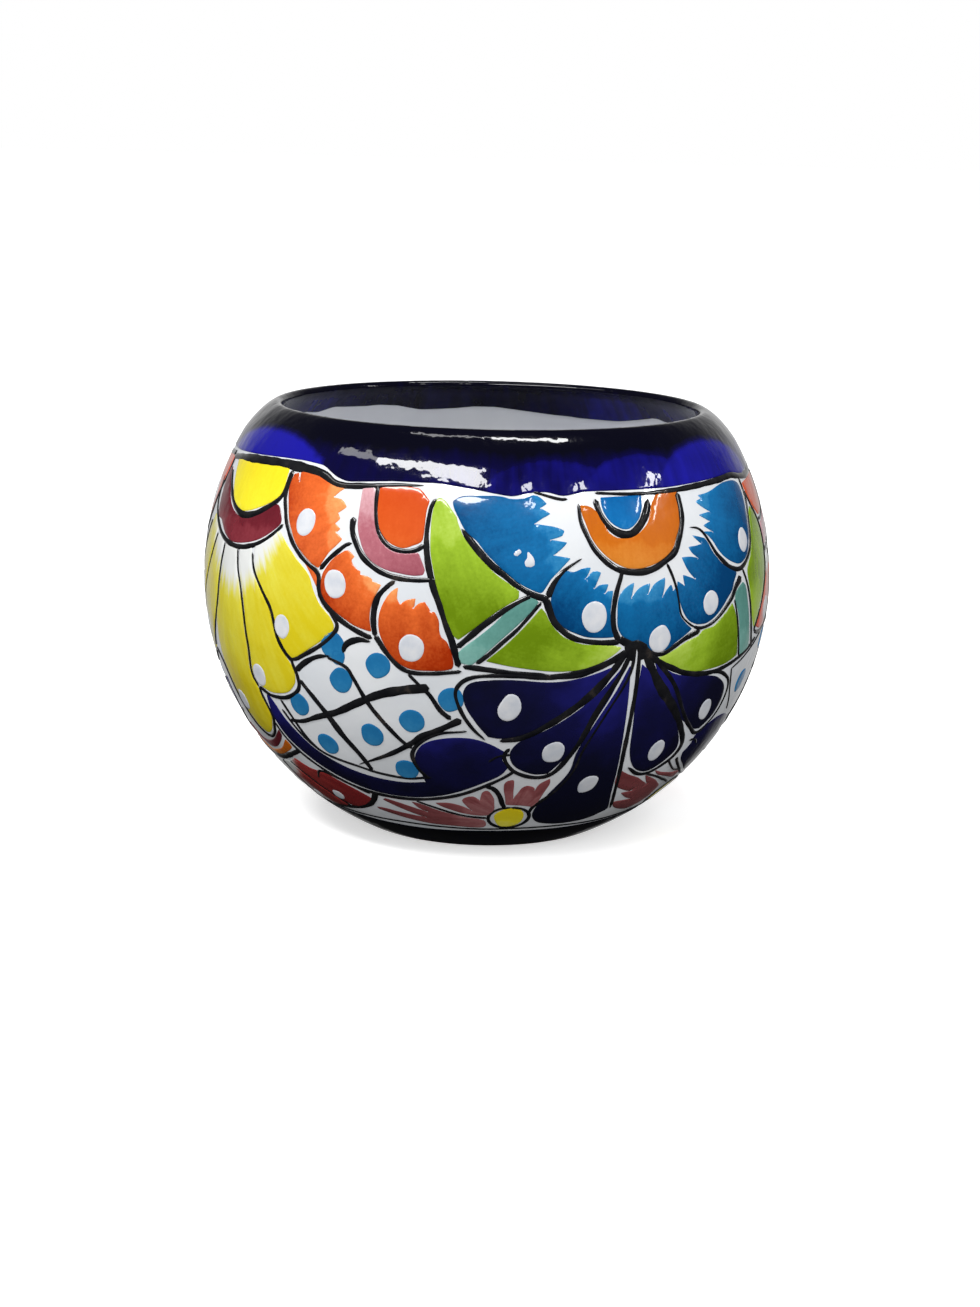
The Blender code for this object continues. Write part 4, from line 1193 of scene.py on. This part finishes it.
def build_pot():
    """The five layers of the pot, each in place of its plain CAD node."""
    cobalt = cobalt_glaze()
    belly = sleeve("belly_glaze", even(run_at(GLAZE_FOOT) + 8), even(163), 120, 0.0, (), plain)
    rim = sleeve("rim_glaze", rim_edge, inner_edge, 44, BAND, ("low", "high"), thin_cobalt)
    foot = sleeve("foot_glaze", even(0.35), foot_edge, 16, BAND, ("high",), low_cobalt)
    lining = sleeve("lining_glaze", lambda az: inner_edge(az) - 2, even(RUN_END - 0.5), 90, 0.0, (), plain)
    close_middle(lining)
    for piece, node, look, slot in (
        (belly, "belly_glaze", white_glaze(), "white_glaze"),
        (rim, "rim_glaze", cobalt, "cobalt_glaze"),
        (foot, "foot_glaze", cobalt, "cobalt_glaze"),
        (lining, "lining_glaze", lining_glaze(), "white_glaze"),
        (clay_body(), "clay_body", terracotta(), "terracotta"),
    ):
        dress(piece, look, slot)
        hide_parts(node)


def close_middle(obj):
    """Closes the small hole left at the middle of the floor."""
    bm = bmesh.new()
    bm.from_mesh(obj.data)
    bm.verts.ensure_lookup_table()
    bm.faces.new(bm.verts[-COLUMNS:]).smooth = True
    bm.to_mesh(obj.data)
    bm.free()


def clay_body():
    """The fired clay, which shows on the foot ring and under the base."""
    under = 0.45 * MM
    wall = RING_INNER + RECESS_SLOPE
    outline = [(RING_INNER, RECESS), (RING_INNER + RECESS_SLOPE * 0.4, RECESS * 0.9), (wall, 0.0003),
               (wall + 0.0006, 0), (RING_OUTER - 0.0008, 0), (RING_OUTER + 0.0002, 0.0003),
               (RING_OUTER + 0.0016, FOOT_EDGE), *section(under, GLAZE_FOOT, 2)]
    count = COLUMNS // 2
    a = np.arange(count) * 2 * pi / count
    rings = [np.stack([r * np.sin(a), -r * np.cos(a), 0 * a + z], 1) for r, z in outline]
    points = np.concatenate([[[0, 0, RECESS]], *rings, [[0, 0, FLOOR_TOP - under]]])
    last = len(points) - 1
    faces = [tuple(i + 1 for i in f) for f in grid_faces(len(outline), count)]
    faces += [(0, 1 + (j + 1) % count, 1 + j) for j in range(count)]
    faces += [(last, last - count + j, last - count + (j + 1) % count) for j in range(count)]
    return add_mesh("clay_body", points, faces, sharp=40)


def build_layers():
    finishes = all_finishes()
    for (name, finish), layer in Layer.made.items():
        places, lifts = np.vstack(layer.places), np.concatenate(layer.lifts)
        points = skin(places[:, 0], places[:, 1], lifts)
        obj = add_mesh(name, points, layer.faces, np.concatenate(layer.depths), np.vstack(layer.brushes))
        dress(obj, *finishes[finish])


# ------------------------------------------------------------------ camera, light and floor


FLOOR_REACH, FLOOR_DROP, FLOOR_GLOW = 40.0, 0.0002, 0.5
LENS, SENSOR = 60.93, 36.0
CAMERA_PLACE, CAMERA_DOWN, CAMERA_ROLL = (0.00192, -0.78876, 0.2391), 12.91, 1.38

# light panels: name, the directions of both ends as (degrees round, degrees up), how far off they
# are and how tall, in metres, and how bright
MIRRORED_PANELS = (
    ("window_dim", (-92, 49), (-66, 51), 1.9, 0.2, 4),
    ("window_strip", (-66, 51), (-3, 46), 1.9, 0.26, 18),
    ("lip_left", (-126, 70), (150, 87), 2.1, 0.10, 4),
    ("lip_right", (150, 87), (103, 70), 2.1, 0.18, 16),
    ("spark_left", (18.8, 39.5), (20, 46), 2.15, 0.10, 16),
    ("spark_middle", (42.5, 36), (46, 43), 2.15, 0.10, 16),
    ("spark_right", (71, 26), (86.4, 36.5), 2.15, 0.12, 16),
)
SOFT_PANELS = (
    ("left_fill", (-95, 8), (-60, 8), 2.2, 1.0, 3.4),
    ("right_fill", (60, 8), (95, 8), 2.2, 1.0, 3.2),
    ("front_fill", (-35, 30), (35, 30), 2.2, 1.2, 1.0),
)


def floor():
    corners = ((-1, -1), (1, -1), (1, 1), (-1, 1))
    points = [(x * FLOOR_REACH, y * FLOOR_REACH, -FLOOR_DROP) for x, y in corners]
    obj = add_mesh("floor", points, [(0, 1, 2, 3)])
    n = material("floor")
    n.finish(ink(246, 246, 246), 0.9, specular=0.0)
    shader = n.tree.nodes["Principled BSDF"].inputs
    shader["Emission Color"].default_value = (1, 1, 1, 1)
    shader["Emission Strength"].default_value = FLOOR_GLOW
    obj.data.materials.append(n.owner)
    obj.visible_glossy = obj.visible_diffuse = False


def camera():
    data = bpy.data.cameras.new("camera")
    data.lens, data.sensor_width = LENS, SENSOR
    obj = bpy.data.objects.new("camera", data)
    tilt = Matrix.Rotation(radians(90 - CAMERA_DOWN), 4, "X")
    roll = Matrix.Rotation(radians(CAMERA_ROLL), 4, "Z")
    obj.matrix_world = Matrix.Translation(CAMERA_PLACE) @ tilt @ roll
    bpy.context.scene.collection.objects.link(obj)
    bpy.context.scene.camera = obj


def towards(az, el, distance):
    a, e = radians(az), radians(el)
    return Vector((sin(a) * cos(e), -cos(a) * cos(e), sin(e))) * distance


def panel(name, start, end, distance, height, glow, mirrored):
    """A soft light panel that spans two directions seen from the pot, and faces it."""
    start, end = towards(*start, distance), towards(*end, distance)
    middle = (start + end) / 2
    back = (middle - Vector((0, 0, 0.1))).normalized()
    up = back.cross((end - start).normalized()).normalized()
    light = bpy.data.lights.new(name, "AREA")
    light.shape, light.size, light.size_y = "RECTANGLE", (end - start).length, height
    light.energy = glow * pi * light.size * height
    obj = bpy.data.objects.new(name, light)
    turn = Matrix((up.cross(back), up, back)).transposed().to_4x4()
    obj.matrix_world = Matrix.Translation(middle) @ turn
    obj.visible_glossy = mirrored
    bpy.context.scene.collection.objects.link(obj)


def lights():
    for panels, mirrored in ((MIRRORED_PANELS, True), (SOFT_PANELS, False)):
        for row in panels:
            panel(*row, mirrored)


def world():
    """White behind the pot, soft light from above, and a dim room for the glaze to mirror."""
    scene = bpy.context.scene
    scene.world = bpy.data.worlds.new("studio")
    n = Nodes(scene.world)
    look = n.node("SeparateXYZ", Vector=n.place("Generated")).outputs
    height = n.math("MULTIPLY_ADD", look["Z"], 0.5, 0.5)

    def levels(*stops):
        """A brightness for how far up a ray looks, from -1 straight down to 1 straight up."""
        return n.ramp(height, *(((at + 1) / 2, (level, level, level, 1)) for at, level in stops))

    soft = levels((-0.6, 0.30), (0.0, 0.46), (0.7, 0.60))
    room = levels((-0.3, 0.006), (0.04, 0.012), (0.16, 0.045), (0.5, 0.04), (0.72, 0.01))
    backdrop = levels((-0.5, 0.0), (-0.32, 1.0), (0.1, 1.0), (0.6, 0.0))
    behind = n.math("MULTIPLY_ADD", look["Y"], 2 * BACKDROP_GLOW, -1.3 * BACKDROP_GLOW, clamp=True)
    mirrored = n.math("MULTIPLY_ADD", behind, backdrop, room)
    rays = n.node("LightPath").outputs
    glow = n.mix(rays["Is Glossy Ray"], soft, mirrored, "VALUE")
    glow = n.mix(rays["Is Camera Ray"], glow, 1.0, "VALUE")
    back = n.tree.nodes["Background"].inputs
    back["Color"].default_value = (1, 1, 1, 1)
    n.feed(back["Strength"], glow)
    scene.view_settings.view_transform = "Standard"


# the cup, star, sun and coral flowers of each side, as the finishes of petals, band and disc
FRONT_FLOWERS = (("yellow_long", "maroon", "yellow_disc"), ("orange", "mauve", "orange_disc"),
                 ("blue", "amber", "blue_disc"), ("coral", "mauve", "orange_disc"))
BACK_FLOWERS = (("blue_long", "amber", "blue"), ("yellow", "maroon", "yellow"),
                ("orange", "yellow", "orange_disc"), ("coral", "mauve", "orange_disc"))


def main():
    build_pot()
    paint_half("front", 10, FRONT_FLOWERS)
    paint_half("back", 60, BACK_FLOWERS)
    build_layers()
    floor()
    world()
    lights()
    camera()
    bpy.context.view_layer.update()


main()
